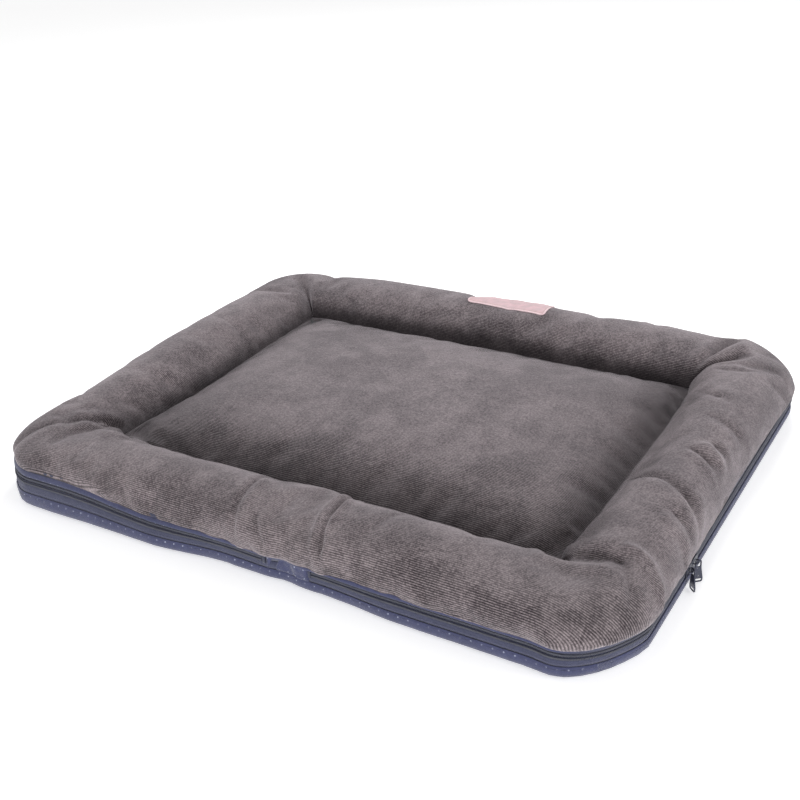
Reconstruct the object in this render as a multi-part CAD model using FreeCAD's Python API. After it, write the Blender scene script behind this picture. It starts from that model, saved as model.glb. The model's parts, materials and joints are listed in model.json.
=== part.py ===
"""Pet cushion bed: a stuffed corduroy top, stitched down round a rectangle so that a bolster rises
on all four sides of a crowned centre. It zips all round to a shallow base cloth and holds a pad.

Frame: X along the long side, Y from front to back, Z up, in millimetres. The origin is the centre
of the underside. An inset is a distance inwards from the bed's outline as seen from above.
"""

import math
import os

import FreeCAD
import Part

V = FreeCAD.Vector
ORIGIN = V(0, 0, 0)
X_AXIS = V(1, 0, 0)
Y_AXIS = V(0, 1, 0)
UP = V(0, 0, 1)

# ---- overall ----
bed_length = 700.0
bed_width = 550.0
corner_radius = 65.0

# ---- heights above the floor ----
wall_height = 12.0  # top edge of the base cloth
chain_height = 21.5  # middle of the zip
seam_height = 28.0  # lower edge of the corduroy, where it is sewn to the zip
bolster_height = 65.0
centre_height = 58.0

# ---- sewn cloth ----
bolster_width = 95.0
cover_thickness = 1.5
base_thickness = 1.0
base_inset = 0.6
base_edge_radius = 8.0
lining_thickness = 0.6
liner_thickness = 0.4
fill_clearance = 0.3
centre_clearance = 0.3
centre_shoulder = 20.0  # radius of the centre's rounded edge

# ---- removable pad ----
pad_inset = 4.5
pad_edge_radius = 6.0
pad_headroom = 0.5
pad_clearance = 0.3

# ---- zip ----
tape_inset = 1.0
tape_thickness = 0.6
coil_height = 2.7  # each of the two rows
coil_depth = 1.5
coil_gap = 0.6  # between the two rows, where the slider's web runs
end_gap_from = 9.0  # along X on the front, where the zip's two ends stop
end_gap_to = 62.0
stop_length = 3.0
stop_overhang = 0.3
tab_thickness = 0.8
tab_clearance = 0.3

# ---- sliders ----
slider_length = 13.2
slider_nose_half = 4.9
slider_tail_half = 4.2
slider_taper_from = 6.0  # back from the nose
slider_wing = 1.2
slider_corner = 1.2
slider_clearance = 0.3
web_thickness = 0.4
web_from = 0.6
web_to = 4.6
flange_thickness = 0.9
sliders_meet_y = -119.6
sliders_apart = 0.4
bail_wire = 1.4
bail_span = 6.8  # between the middles of its two legs
bail_bend = 1.2
bail_room = 2.5  # under the wire, for the pull's head
bail_root = 0.6  # how far its legs go into the wing

# ---- pulls ----
pull_thickness = 1.0
pull_turn = 42.0  # degrees that each pull hangs round from square to the wire
pull_top = 2.4  # above the wire's middle; what follows is below it
pull_head_bottom = 5.5
pull_wide_from = 16.0
pull_length = 20.5
pull_head_half = 2.9
pull_wide_half = 4.4
pull_head_corner = 1.5
pull_end_corner = 2.2
eye_half = 1.7
eye_top = 1.0
eye_bottom = 4.2
eye_corner = 0.8
slot_from = 17.0
slot_to = 19.3
slot_half = 3.2
slot_corner = 0.9

# ---- label ----
label_length = 104.0
label_middle_x = 3.0
label_thickness = 1.2
label_clearance = 0.1
label_from = 17.0  # inset of its outer edge
label_to = 53.0
label_corner = 6.0

half_length = bed_length / 2
half_width = bed_width / 2
tape_face = half_length - tape_inset
wing_face = tape_face + coil_depth + slider_clearance + slider_wing
wire_middle = wing_face + bail_room + bail_wire / 2
sides = {
    "front": (0, (bed_length, bed_width)),
    "right": (90, (bed_width, bed_length)),
    "back": (180, (bed_length, bed_width)),
    "left": (270, (bed_width, bed_length)),
}
reach = 20.0  # how far a cutting block runs past what it cuts
tiny = 1e-6
crown_tolerance = 1e-3  # the centre's two crowns touch along their tops, so they need a looser one


def box(x0, x1, y0, y1, z0, z1):
    """A block between two corners."""
    return Part.makeBox(x1 - x0, y1 - y0, z1 - z0, V(x0, y0, z0))


def turned(shape, degrees, axis=UP, centre=ORIGIN):
    """A copy of a shape, turned about an axis."""
    copy = shape.copy()
    copy.rotate(centre, axis, degrees)
    return copy


def prism(points, direction):
    """A closed outline of points, run along a direction."""
    wire = Part.makePolygon(points + [points[0]])
    return Part.Face(wire).extrude(direction)


def edges_along(solid, axis):
    """The straight edges of a solid that run along an axis."""
    def runs(edge):
        return isinstance(edge.Curve, Part.Line) and abs(edge.Curve.Direction.dot(axis)) > 1 - tiny
    return [edge for edge in solid.Edges if runs(edge)]


def level_edges(solid, z):
    """The edges of a solid that lie at one height."""
    return [edge for edge in solid.Edges if all(abs(v.Z - z) < tiny for v in edge.Vertexes)]


def outline_block(inset, z0, z1):
    """A block with the bed's rounded plan, taken in by an inset."""
    x = half_length - inset
    y = half_width - inset
    block = box(-x, x, -y, y, z0, z1)
    return block.makeFillet(corner_radius - inset, edges_along(block, UP))


def outline_ring(outer_inset, inner_inset, z0, z1):
    """A thin wall that follows the bed's plan."""
    return outline_block(outer_inset, z0, z1).cut(outline_block(inner_inset, z0 - reach, z1 + reach))


# ---- base ----


def base_fabric():
    """The base cloth: flat underneath, with a low rounded wall up to the zip."""
    outside = outline_block(base_inset, 0, wall_height)
    outside = outside.makeFillet(base_edge_radius, level_edges(outside, 0))
    inside = outline_block(base_inset + base_thickness, base_thickness, wall_height + reach)
    inner_radius = base_edge_radius - base_thickness
    return outside.cut(inside.makeFillet(inner_radius, level_edges(inside, base_thickness)))


def pad_block(taken_in):
    """The removable pad's outer shape, taken in all round."""
    z0 = base_thickness + taken_in
    z1 = seam_height - lining_thickness - pad_headroom - taken_in
    block = outline_block(pad_inset + taken_in, z0, z1)
    return block.makeFillet(pad_edge_radius - taken_in, level_edges(block, z0) + level_edges(block, z1))


def insert_liner():
    """The thin bag round the removable pad."""
    return pad_block(0).cut(pad_block(liner_thickness))


def insert_pad():
    """The fibre pad inside its bag."""
    return pad_block(liner_thickness + pad_clearance)


def lining_panel():
    """The cloth that closes the stuffed top from below."""
    return outline_block(tape_inset + tape_thickness, seam_height - lining_thickness, seam_height)


# ---- zip ----


def zip_tape(z0, z1):
    """One of the two tapes, all round the bed."""
    return outline_ring(tape_inset, tape_inset + tape_thickness, z0, z1)


def zip_coil(z0):
    """One row of the coil, from one end of the zip to the other."""
    z1 = z0 + coil_height
    front = -half_width
    gap = box(end_gap_from, end_gap_to, front - reach, front + reach, z0 - reach, z1 + reach)
    return outline_ring(tape_inset - coil_depth, tape_inset, z0, z1).cut(gap)


def zip_stop(x0):
    """A stop crimped across both rows at an end of the zip."""
    rise = coil_gap / 2 + coil_height + stop_overhang
    back = -half_width + tape_inset
    front = back - coil_depth - stop_overhang
    block = box(x0, x0 + stop_length, front, back, chain_height - rise, chain_height + rise)
    outer = [edge for edge in edges_along(block, X_AXIS) if edge.Vertexes[0].Y < front + tiny]
    return block.makeFillet(stop_overhang, outer)


def zip_stops():
    """The stops at both ends of the zip."""
    return Part.makeCompound([zip_stop(end_gap_from), zip_stop(end_gap_to - stop_length)])


def zip_end_tab():
    """The folded tape that covers the gap between the zip's two ends."""
    x0 = end_gap_from + stop_length + tab_clearance
    x1 = end_gap_to - stop_length - tab_clearance
    back = -half_width + tape_inset
    return box(x0, x1, back - tab_thickness, back, wall_height, seam_height)


# ---- stuffed top ----


def arch_face(depth, taken_in):
    """The half-ellipse section, at X = 0, of the front bolster of a bed of this depth."""
    across = bolster_width / 2 - taken_in
    rise = bolster_height - seam_height - taken_in
    curve = Part.ArcOfEllipse(Part.Ellipse(ORIGIN, across, rise), 0, math.pi).toShape()
    closing = Part.LineSegment(V(-across, 0, 0), V(across, 0, 0)).toShape()
    face = turned(Part.Face(Part.Wire([curve, closing])), 90, X_AXIS)
    face = turned(face, 90)
    face.translate(V(0, bolster_width / 2 - depth / 2, seam_height))
    return face


def arch_run(length, depth, taken_in):
    """The front bolster's solid: a mitred run with its two rounded outer corners."""
    face = arch_face(depth, taken_in)
    front = -depth / 2
    straight = length / 2 - corner_radius
    inner = length / 2 - bolster_width
    z0 = seam_height
    plan = [V(-straight, front - reach, z0), V(straight, front - reach, z0),
            V(straight, front + corner_radius, z0), V(inner, front + bolster_width, z0),
            V(-inner, front + bolster_width, z0), V(-straight, front + corner_radius, z0)]
    whole = face.extrude(V(length, 0, 0))
    whole.translate(V(-length / 2, 0, 0))
    solid = whole.common(prism(plan, V(0, 0, bolster_height)))
    outer_strip = box(-tiny, tiny, front - reach, front + corner_radius, z0 - reach, z0 + bolster_height)
    outer_part = face.common(outer_strip)
    for end in (-1, 1):
        section = outer_part.copy()
        section.translate(V(end * straight, 0, 0))
        centre = V(end * straight, front + corner_radius, 0)
        solid = solid.fuse(section.revolve(centre, UP, end * 45))
    return solid.removeSplitter()


def fill_run(length, depth):
    """The fibre in one bolster."""
    fill = arch_run(length, depth, cover_thickness + 2 * fill_clearance)
    fill.translate(V(0, 0, fill_clearance))
    return fill


def crown_profile(half, taken_in):
    """The centre's section in the XZ plane: a long crown between two rounded shoulders."""
    side = half - taken_in
    shoulder = centre_shoulder - taken_in
    rise = centre_height - seam_height - taken_in
    crown = ((side - shoulder) ** 2 + rise ** 2 - shoulder ** 2) / (2 * (rise - shoulder))
    lean = math.atan2(side - shoulder, crown - rise)

    def at(middle_x, middle_z, radius, angle):
        return V(middle_x + radius * math.sin(angle), 0, middle_z + radius * math.cos(angle))

    crown_z = seam_height + rise - crown
    halfway = (lean + math.pi / 2) / 2
    foot = V(side, 0, seam_height)
    joint = at(0, crown_z, crown, lean)
    middle = at(side - shoulder, seam_height, shoulder, halfway)
    top = at(0, crown_z, crown, 0)

    def mirrored(point):
        return V(-point.x, 0, point.z)

    arcs = [Part.Arc(foot, middle, joint), Part.Arc(joint, top, mirrored(joint)),
            Part.Arc(mirrored(joint), mirrored(middle), mirrored(foot))]
    closing = Part.LineSegment(mirrored(foot), foot).toShape()
    return Part.Face(Part.Wire([arc.toShape() for arc in arcs] + [closing]))


def centre_block(taken_in):
    """The centre's outer shape, crowned both ways."""
    half_x = half_length - bolster_width - centre_clearance
    half_y = half_width - bolster_width - centre_clearance
    across = crown_profile(half_x, taken_in).extrude(V(0, 2 * half_y, 0))
    across.translate(V(0, -half_y, 0))
    along = turned(crown_profile(half_y, taken_in), 90).extrude(V(2 * half_x, 0, 0))
    along.translate(V(-half_x, 0, 0))
    return across.common([along], crown_tolerance)


def stitched_strip():
    """The flat strip where the corduroy is stitched down, between the bolsters and the centre."""
    outer_x = half_length - bolster_width + cover_thickness / 2
    outer_y = half_width - bolster_width + cover_thickness / 2
    step = cover_thickness + centre_clearance
    z1 = seam_height + cover_thickness
    outer = box(-outer_x, outer_x, -outer_y, outer_y, seam_height, z1)
    inner = box(step - outer_x, outer_x - step, step - outer_y, outer_y - step, seam_height, z1)
    return outer.cut(inner)


def top_cover():
    """The corduroy, in one piece over the four bolsters and the centre, open underneath."""
    cover = stitched_strip()
    for degrees, run in sides.values():
        shell = arch_run(*run, 0).cut(arch_run(*run, cover_thickness))
        cover = cover.fuse(turned(shell, degrees))
    return cover.fuse(centre_block(0).cut(centre_block(cover_thickness))).removeSplitter()


def centre_fill():
    """The fibre under the centre's corduroy."""
    fill = centre_block(cover_thickness + 2 * fill_clearance)
    fill.translate(V(0, 0, fill_clearance))
    return fill


def name_label():
    """The blank leather patch sewn over the crest of the back bolster."""
    inner = arch_face(bed_width, -label_clearance)
    skin = arch_face(bed_width, -label_clearance - label_thickness).cut(inner)
    strip = turned(skin.extrude(V(label_length, 0, 0)), 180)
    strip.translate(V(label_middle_x + label_length / 2, 0, 0))
    x0 = label_middle_x - label_length / 2
    patch = box(x0, x0 + label_length, half_width - label_to, half_width - label_from,
                seam_height + reach, bolster_height + reach)
    return strip.common(patch.makeFillet(label_corner, edges_along(patch, UP)))


# ---- sliders and pulls, made as the front one, with its nose at Y = 0 ----


def wing(x0):
    """One of the slider's two plates."""
    taper = -slider_taper_from
    points = [V(x0, 0, slider_nose_half), V(x0, taper, slider_nose_half),
              V(x0, -slider_length, slider_tail_half), V(x0, -slider_length, -slider_tail_half),
              V(x0, taper, -slider_nose_half), V(x0, 0, -slider_nose_half)]
    plate = prism(points, V(slider_wing, 0, 0))
    ends = [edge for edge in edges_along(plate, X_AXIS) if abs(edge.Vertexes[0].Y - taper) > tiny]
    return plate.makeFillet(slider_corner, ends)


def bail():
    """The wire loop on the slider's face that the pull hangs from."""
    middle = -slider_length / 2
    foot = wing_face - bail_root
    bend = bail_bend
    corner_shift = bend * (1 - math.sqrt(0.5))
    ends = [middle - bail_span / 2, middle + bail_span / 2]
    edges = []
    for y, inwards in ((ends[0], 1), (ends[1], -1)):
        leg = Part.LineSegment(V(foot, y, 0), V(wire_middle - bend, y, 0))
        turn = Part.Arc(V(wire_middle - bend, y, 0),
                        V(wire_middle - corner_shift, y + inwards * corner_shift, 0),
                        V(wire_middle, y + inwards * bend, 0))
        edges += [leg.toShape(), turn.toShape()]
    bar = Part.LineSegment(V(wire_middle, ends[0] + bend, 0), V(wire_middle, ends[1] - bend, 0))
    path = Part.Wire([edges[0], edges[1], bar.toShape(), edges[3], edges[2]])
    ring = Part.Wire([Part.Circle(V(foot, ends[0], 0), X_AXIS, bail_wire / 2).toShape()])
    return path.makePipeShell([ring], True, False)


def slider():
    """A slider: two plates joined by a web, two flanges over the rows, and the bail."""
    outer = wing_face - slider_wing
    inner = tape_face - tape_thickness - slider_clearance
    solid = wing(outer).fuse(wing(inner - slider_wing))
    solid = solid.fuse(box(inner - tiny, outer + tiny, -web_to, -web_from,
                           -web_thickness / 2, web_thickness / 2))
    low = coil_gap / 2 + coil_height + slider_clearance
    for side in (-1, 1):
        near, far = sorted((side * low, side * (low + flange_thickness)))
        solid = solid.fuse(box(tape_face + slider_clearance, outer + tiny,
                               -slider_length + slider_corner, -slider_taper_from, near, far))
    return solid.fuse(bail()).removeSplitter()


def pull():
    """The flat pull: an eye round the wire, widening to a slotted end."""
    y0 = -pull_thickness / 2
    along = V(0, pull_thickness, 0)

    def plate(half_and_height):
        left = [V(-half, y0, z) for half, z in half_and_height]
        right = [V(half, y0, z) for half, z in reversed(half_and_height)]
        return prism(left + right, along)

    def corners_at(solid, z):
        return [edge for edge in edges_along(solid, Y_AXIS) if abs(edge.Vertexes[0].Z - z) < tiny]

    body = plate([(pull_head_half, pull_top), (pull_head_half, -pull_head_bottom),
                  (pull_wide_half, -pull_wide_from), (pull_wide_half, -pull_length)])
    body = body.makeFillet(pull_head_corner, corners_at(body, pull_top))
    body = body.makeFillet(pull_end_corner, corners_at(body, -pull_length))
    eye = plate([(eye_half, eye_top), (eye_half, -eye_bottom)])
    slot = plate([(slot_half, -slot_from), (slot_half, -slot_to)])
    body = body.cut(eye.makeFillet(eye_corner, edges_along(eye, Y_AXIS)))
    return body.cut(slot.makeFillet(slot_corner, edges_along(slot, Y_AXIS)))


def hung_pull(turn):
    """A pull on the front slider's wire, turned about its own length."""
    copy = turned(pull(), turn)
    copy.translate(V(wire_middle, -slider_length / 2, 0))
    return copy


def on_front(shape):
    """A shape moved to the front slider's place."""
    copy = shape.copy()
    copy.translate(V(0, sliders_meet_y - sliders_apart / 2, chain_height))
    return copy


def on_rear(shape):
    """A shape moved to the rear slider's place, nose to nose with the front one."""
    return on_front(shape).mirror(V(0, sliders_meet_y, 0), Y_AXIS)


parts = {
    "base_fabric": base_fabric(),
    "insert_liner": insert_liner(),
    "insert_pad": insert_pad(),
    "lining_panel": lining_panel(),
    "lower_tape": zip_tape(wall_height, chain_height - coil_gap / 2),
    "upper_tape": zip_tape(chain_height + coil_gap / 2, seam_height),
    "lower_coil": zip_coil(chain_height - coil_gap / 2 - coil_height),
    "upper_coil": zip_coil(chain_height + coil_gap / 2),
    "zip_stops": zip_stops(),
    "zip_end_tab": zip_end_tab(),
    "top_cover": top_cover(),
    "centre_fill": centre_fill(),
    "name_label": name_label(),
    "front_slider": on_front(slider()),
    "rear_slider": on_rear(slider()),
    "front_pull": on_front(hung_pull(-pull_turn)),
    "rear_pull": on_rear(hung_pull(-pull_turn)),
}

for side, (degrees, run) in sides.items():
    parts[side + "_bolster_fill"] = turned(fill_run(*run), degrees)

os.makedirs("parts", exist_ok=True)
for name, shape in parts.items():
    shape.exportStep(os.path.join("parts", name + ".step"))
    print(name, len(shape.Solids), shape.isValid(), round(shape.Volume), shape.BoundBox)
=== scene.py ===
"""Looks for a zipped pet cushion bed: a stuffed corduroy top over a shallow navy base.

Lengths are in metres. X runs along the long side, Y from the front to the back and Z up.
"""

import json
import math
from collections import namedtuple

import bmesh
import bpy
import numpy as np
from bpy.props import FloatProperty, FloatVectorProperty, IntProperty, PointerProperty
from mathutils import Matrix, Vector, noise
from mathutils.bvhtree import BVHTree

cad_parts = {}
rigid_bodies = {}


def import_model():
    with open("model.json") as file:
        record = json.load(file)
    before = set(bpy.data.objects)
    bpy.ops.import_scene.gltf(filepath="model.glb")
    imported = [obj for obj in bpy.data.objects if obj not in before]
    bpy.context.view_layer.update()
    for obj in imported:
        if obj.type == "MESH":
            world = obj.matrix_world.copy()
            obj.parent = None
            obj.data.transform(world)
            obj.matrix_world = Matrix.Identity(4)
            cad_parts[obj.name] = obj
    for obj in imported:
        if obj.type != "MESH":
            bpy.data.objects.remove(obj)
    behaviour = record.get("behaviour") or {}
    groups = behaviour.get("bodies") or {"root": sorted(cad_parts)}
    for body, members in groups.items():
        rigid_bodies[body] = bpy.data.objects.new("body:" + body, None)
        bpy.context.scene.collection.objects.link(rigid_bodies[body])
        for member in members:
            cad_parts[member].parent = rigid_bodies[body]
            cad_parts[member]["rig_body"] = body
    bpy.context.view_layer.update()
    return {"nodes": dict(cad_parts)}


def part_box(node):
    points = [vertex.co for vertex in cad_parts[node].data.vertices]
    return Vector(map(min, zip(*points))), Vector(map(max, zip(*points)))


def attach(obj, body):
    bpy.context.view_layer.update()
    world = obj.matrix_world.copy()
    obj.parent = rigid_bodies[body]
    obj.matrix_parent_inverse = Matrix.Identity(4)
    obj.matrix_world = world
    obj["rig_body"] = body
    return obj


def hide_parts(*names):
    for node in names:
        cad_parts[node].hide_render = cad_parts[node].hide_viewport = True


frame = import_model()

bl_info = {
    "name": "Pet cushion bed",
    "version": (1, 0, 0),
    "blender": (4, 5, 0),
    "location": "View3D > Sidebar > Bed",
    "description": "Makes the cloth, zip and label of a pet cushion bed round its CAD frame",
    "category": "Object",
}

MM = 0.001

# ---- sizes read from the frame ----
top_low, top_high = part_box("top_cover")
base_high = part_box("base_fabric")[1]
front_fill_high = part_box("front_bolster_fill")[1]
right_fill_low, right_fill_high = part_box("right_bolster_fill")
centre_fill_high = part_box("centre_fill")[1]
lower_coil_low, lower_coil_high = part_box("lower_coil")
upper_coil_low, upper_coil_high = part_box("upper_coil")
stops_low, stops_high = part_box("zip_stops")
tab_low, tab_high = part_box("zip_end_tab")
label_low, label_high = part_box("name_label")
tape_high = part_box("lower_tape")[1]
pad_low, pad_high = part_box("insert_liner")
slider_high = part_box("front_slider")[1]

half_length, half_width, crest_height = top_high
seam_height = top_low.z
wall_height = base_high.z
fill_inset = half_length - right_fill_high.x
slant = math.sqrt(0.5)
corner_radius = (half_length - fill_inset * slant - front_fill_high.x) / (1 - slant)
bolster_width = half_length - right_fill_low.x + fill_inset
half_bolster = bolster_width / 2
inner_x = half_length - bolster_width
inner_y = half_width - bolster_width
centre_height = centre_fill_high.z + crest_height - front_fill_high.z
tape_inset = half_length - tape_high.x
straight_x = half_length - corner_radius
straight_y = half_width - corner_radius
corner_run = corner_radius * math.pi / 2
perimeter = 4 * (straight_x + straight_y + corner_run)
chain_from = stops_high.x
chain_to = perimeter + stops_low.x


def smooth(value, low, high):
    """0 below low, 1 above high, and an even curve between; it takes numbers and arrays."""
    share = np.clip((value - low) / (high - low), 0, 1)
    return share * share * (3 - 2 * share)


def active(context, name):
    """One of this add-on's groups of settings."""
    return getattr(context.scene, "bed_" + name)


# ---- settings ----


def length_property(name, description, default):
    """A length that a user can change."""
    return FloatProperty(name=name, description=description, default=default, unit="LENGTH")


def colour_property(name, description, default):
    """A colour that a user can change."""
    return FloatVectorProperty(name=name, description=description, default=default,
                               subtype="COLOR", size=3, min=0, max=1)


class BedTopSettings(bpy.types.PropertyGroup):
    """How the stuffed corduroy top is made."""

    overhang: length_property("Overhang", "How far the bolsters bulge out over the zip", 0.0035)
    right_overhang: length_property(
        "Right overhang", "How far the right bolster bulges out over the zip", 0.0055)
    curl: length_property(
        "Curl", "How high the widest part of a bolster is above its outer seam", 0.0070)
    slack: length_property(
        "Slack", "How much lower the corduroy is before its fibre swells it", 0.0035)
    pressure: FloatProperty(
        name="Pressure", description="How hard the fibre pushes the corduroy out", default=4.0)
    growth: FloatProperty(
        name="Spare cloth", description="Share by which the corduroy is cut larger than its fill",
        default=0.012)
    most_moved: length_property(
        "Most moved", "The furthest that the simulation may move the corduroy", 0.008)
    frames: IntProperty(
        name="Frames", description="How long the cloth simulation runs", default=20)
    rib_pitch: length_property("Rib pitch", "From one rib of the corduroy to the next", 0.0019)


class BedZipSettings(bpy.types.PropertyGroup):
    """How the zip is made."""

    turn_pitch: length_property("Turn pitch", "From one turn of a coil to the next", 0.00127)
    stitch_pitch: length_property("Stitch pitch", "From one stitch to the next", 0.0032)
    raised_corner: length_property(
        "Raised corner", "How much higher the seam is at the front left corner", 0.0085)
    pinch: length_property(
        "Pinch", "How far the cloth is drawn in between the zip's two ends", 0.0045)


class BedColours(bpy.types.PropertyGroup):
    """The colours of the bed's cloths and fittings."""

    corduroy_dark: colour_property("Corduroy dark", "The darker smudges of brushed pile",
                                   (0.064, 0.051, 0.057))
    corduroy_light: colour_property("Corduroy light", "The paler smudges of brushed pile",
                                    (0.272, 0.231, 0.240))
    navy: colour_property("Navy cloth", "The base cloth", (0.023, 0.028, 0.092))
    dot: colour_property("Dots", "The rubber dots on the base cloth", (0.30, 0.32, 0.42))
    tape: colour_property("Zip tape", "The woven tape", (0.032, 0.036, 0.084))
    coil: colour_property("Zip coil", "The nylon coil", (0.040, 0.042, 0.060))
    metal: colour_property("Zip metal", "The lacquered sliders and pulls", (0.042, 0.045, 0.070))
    leather: colour_property("Leather", "The label", (0.64, 0.42, 0.45))
    leather_edge: colour_property("Leather edge", "The label's worn edge", (0.76, 0.58, 0.60))
    thread: colour_property("Thread", "The label's stitches", (0.60, 0.42, 0.38))


# ---- the outline and what follows it ----


def outline(distance):
    """The point this far round the outline from the middle of the front, and the way out."""
    left = distance % perimeter
    centre = Vector((straight_x, -straight_y, 0))
    heading = -math.pi / 2
    if left <= straight_x:
        return Vector((left, -half_width, 0)), Vector((0, -1, 0))
    left -= straight_x
    for run in (2 * straight_y, 2 * straight_x, 2 * straight_y, straight_x):
        if left <= corner_run:
            turn = heading + left / corner_radius
            out = Vector((math.cos(turn), math.sin(turn), 0))
            return centre + out * corner_radius, out
        left -= corner_run
        heading += math.pi / 2
        out = Vector((math.cos(heading), math.sin(heading), 0))
        ahead = Vector((-out.y, out.x, 0))
        if left <= run:
            return centre + out * corner_radius + ahead * left, out
        left -= run
        centre = centre + ahead * run
    return Vector((0, -half_width, 0)), Vector((0, -1, 0))


# Spans over which a part of the bed fades in, in metres from the bed's middle.
SLIDER_SIDE = (0.285, 0.342)
LOW_CORNER_X, LOW_CORNER_Y = (0.175, 0.260), (0.060, 0.200)
SEAM_RISE_X = (0.09, 0.260)
FRONT, FRONT_ENDS = (0.200, 0.260), (0.29, 0.34)
LEFT_HALF, RIGHT_HALF = (0.03, 0.13), (0.07, 0.15)
LEFT_SIDE_X, LEFT_SIDE_Y = (0.27, 0.34), (-0.14, -0.02)
BACK_RIGHT_X, BACK_RIGHT_Y = (0.240, 0.345), (0.205, 0.270)
FRONT_RIGHT_X, FRONT_RIGHT_Y = (0.27, 0.325), (0.213, 0.245)
SLACK_END_X, SLACK_END_Y, SLACK_END_Z = (0.27, 0.35), (0.10, 0.22), (0.028, 0.036)

# How far the bed's weight pushes those parts of its rim, in millimetres.
LEFT_HALF_PUSH, RIGHT_HALF_PUSH = 9, 5
LEFT_SIDE_PUSH, SLACK_END_PUSH = Vector((-4, 0, 0)), Vector((-6, 0, 0))
BACK_RIGHT_PUSH, FRONT_RIGHT_PUSH = Vector((-18, 12, 0)), Vector((-6, -5, 0))
LOW_CORNER_PUSH = Vector((-1, -2, 0))


def faded(value, span):
    """How far a value has come over a span, as one plain number."""
    return float(smooth(value, *span))


def looseness(x):
    """1 where the sewn edge may wander, and 0 along the right side, where the sliders run."""
    return 1 - faded(x, SLIDER_SIDE)


def low_corner(x, y, span=LOW_CORNER_X):
    """1 at the front left corner, where the corduroy rides up off the zip."""
    return faded(-x, span) * faded(-y, LOW_CORNER_Y)


def leaning(point, level):
    """How far the bed's weight pushes its rim out of line at a point."""
    x, y, z = point
    front = faded(-y, FRONT) * (1 - level ** 2)
    left_half = faded(-x, LEFT_HALF) * (1 - faded(-x, FRONT_ENDS))
    right_half = faded(x, RIGHT_HALF) * (1 - faded(x, FRONT_ENDS))
    left_side = faded(-x, LEFT_SIDE_X) * faded(y, LEFT_SIDE_Y)
    back_right = faded(x, BACK_RIGHT_X) * faded(y, BACK_RIGHT_Y)
    front_right = faded(x, FRONT_RIGHT_X) * faded(-y, FRONT_RIGHT_Y)
    slack_end = faded(x, SLACK_END_X) * faded(y, SLACK_END_Y) * faded(z, SLACK_END_Z)
    foot = low_corner(x, y) * (1 - level ** 2)
    ahead = LEFT_HALF_PUSH * left_half + RIGHT_HALF_PUSH * right_half
    lean = Vector((0, -1, 0)) * front * ahead
    lean += LEFT_SIDE_PUSH * left_side + BACK_RIGHT_PUSH * back_right
    lean += FRONT_RIGHT_PUSH * front_right + LOW_CORNER_PUSH * foot
    lean += SLACK_END_PUSH * slack_end
    return lean * MM


# How far the sewn edge wanders up, down and sideways, in millimetres, and how finely, and how
# much of the sideways part is left at the foot of the wall. Then how the zip's ends draw it in:
# how far left of the end tab's middle, over what width, and how far down, in millimetres.
WAVE_HEIGHT, WAVES = 1.3, 9
RIPPLE_HEIGHT, RIPPLES = 0.5, 31
SWAY_DEPTH, SWAYS = 1.5, 13
FOOT_SWAY = 0.35
PINCH_SHIFT, PINCH_WIDTH, PINCH_DROP = 6, 11, 1.2


def settled(point, context):
    """Moves a point of the sewn edge from its drawn place to where the soft cloth leaves it."""
    zip_settings = active(context, "zip")
    x, y, z = point
    free = looseness(x)
    level = min(z / seam_height, 1.0)
    above = 1 - float(smooth(z, seam_height, crest_height))
    corner = low_corner(x, y, SEAM_RISE_X)
    near = Vector((x, y, 0))
    ripple = noise.noise(near * RIPPLES + Vector((7, 0, 0))) * RIPPLE_HEIGHT * MM
    wave = noise.noise(near * WAVES) * WAVE_HEIGHT * MM + ripple
    out = Vector((x / half_length, y / half_width, 0)).normalized()
    sway = noise.noise(near * SWAYS + Vector((0, 5, 3))) * SWAY_DEPTH * MM
    middle = (tab_low.x + tab_high.x) / 2 - PINCH_SHIFT * MM
    drawn = math.exp(-((x - middle) / (PINCH_WIDTH * MM)) ** 2) if y < -inner_y else 0.0
    moved = Vector(point)
    moved += out * sway * free * above * (FOOT_SWAY + (1 - FOOT_SWAY) * level)
    moved.z += (zip_settings.raised_corner * corner + wave * free) * level * above
    moved.z -= drawn * PINCH_DROP * MM * level * above
    moved.y += drawn * zip_settings.pinch * above * (0.5 + 0.5 * level)
    return moved + leaning(point, level)


def edge_point(distance, inset, height, context):
    """A place on the sewn edge, after the cloth has settled."""
    point, out = outline(distance)
    place = point - out * inset
    place.z = height
    return settled(place, context)


# ---- making pieces ----


def new_piece(name, bm, material, smooth_shading=True):
    """Turns a bmesh into a linked object with one material."""
    mesh = bpy.data.meshes.new(name)
    bm.to_mesh(mesh)
    bm.free()
    if smooth_shading:
        mesh.shade_smooth()
    mesh.materials.append(material)
    piece = bpy.data.objects.new(name, mesh)
    bpy.context.scene.collection.objects.link(piece)
    return piece


def thickened(piece, thickness):
    """Gives a cloth its thickness, inwards from its face."""
    wall = piece.modifiers.new("Thickness", "SOLIDIFY")
    wall.thickness = thickness
    wall.offset = -1
    return piece


def write_map(bm, places):
    """Writes a UV map, in metres of cloth, from a dict of vertex to (u, v)."""
    layer = bm.loops.layers.uv.new("cloth")
    for face in bm.faces:
        for loop in face.loops:
            loop[layer].uv = places[loop.vert]


BAND_COLUMN = 3.6 * MM


def band(name, span, profile, material, context):
    """A closed strip of cloth round the outline. Its profile is a function of x that gives its
    (inset, height) from low to high."""
    start, end = span
    columns = round((end - start) / BAND_COLUMN)
    rows = len(profile(0.0)) - 1
    bm = bmesh.new()
    bmesh.ops.create_grid(bm, x_segments=columns, y_segments=rows, size=1)
    places = {}
    for vert in bm.verts:
        distance = start + (end - start) * (vert.co.x + 1) / 2
        row = round((vert.co.y + 1) / 2 * rows)
        inset, height = profile(outline(distance)[0].x)[row]
        places[vert] = (distance, height)
        vert.co = edge_point(distance, inset, height, context)
    write_map(bm, places)
    bmesh.ops.remove_doubles(bm, verts=bm.verts, dist=0.01 * MM)
    return new_piece(name, bm, material)


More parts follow.
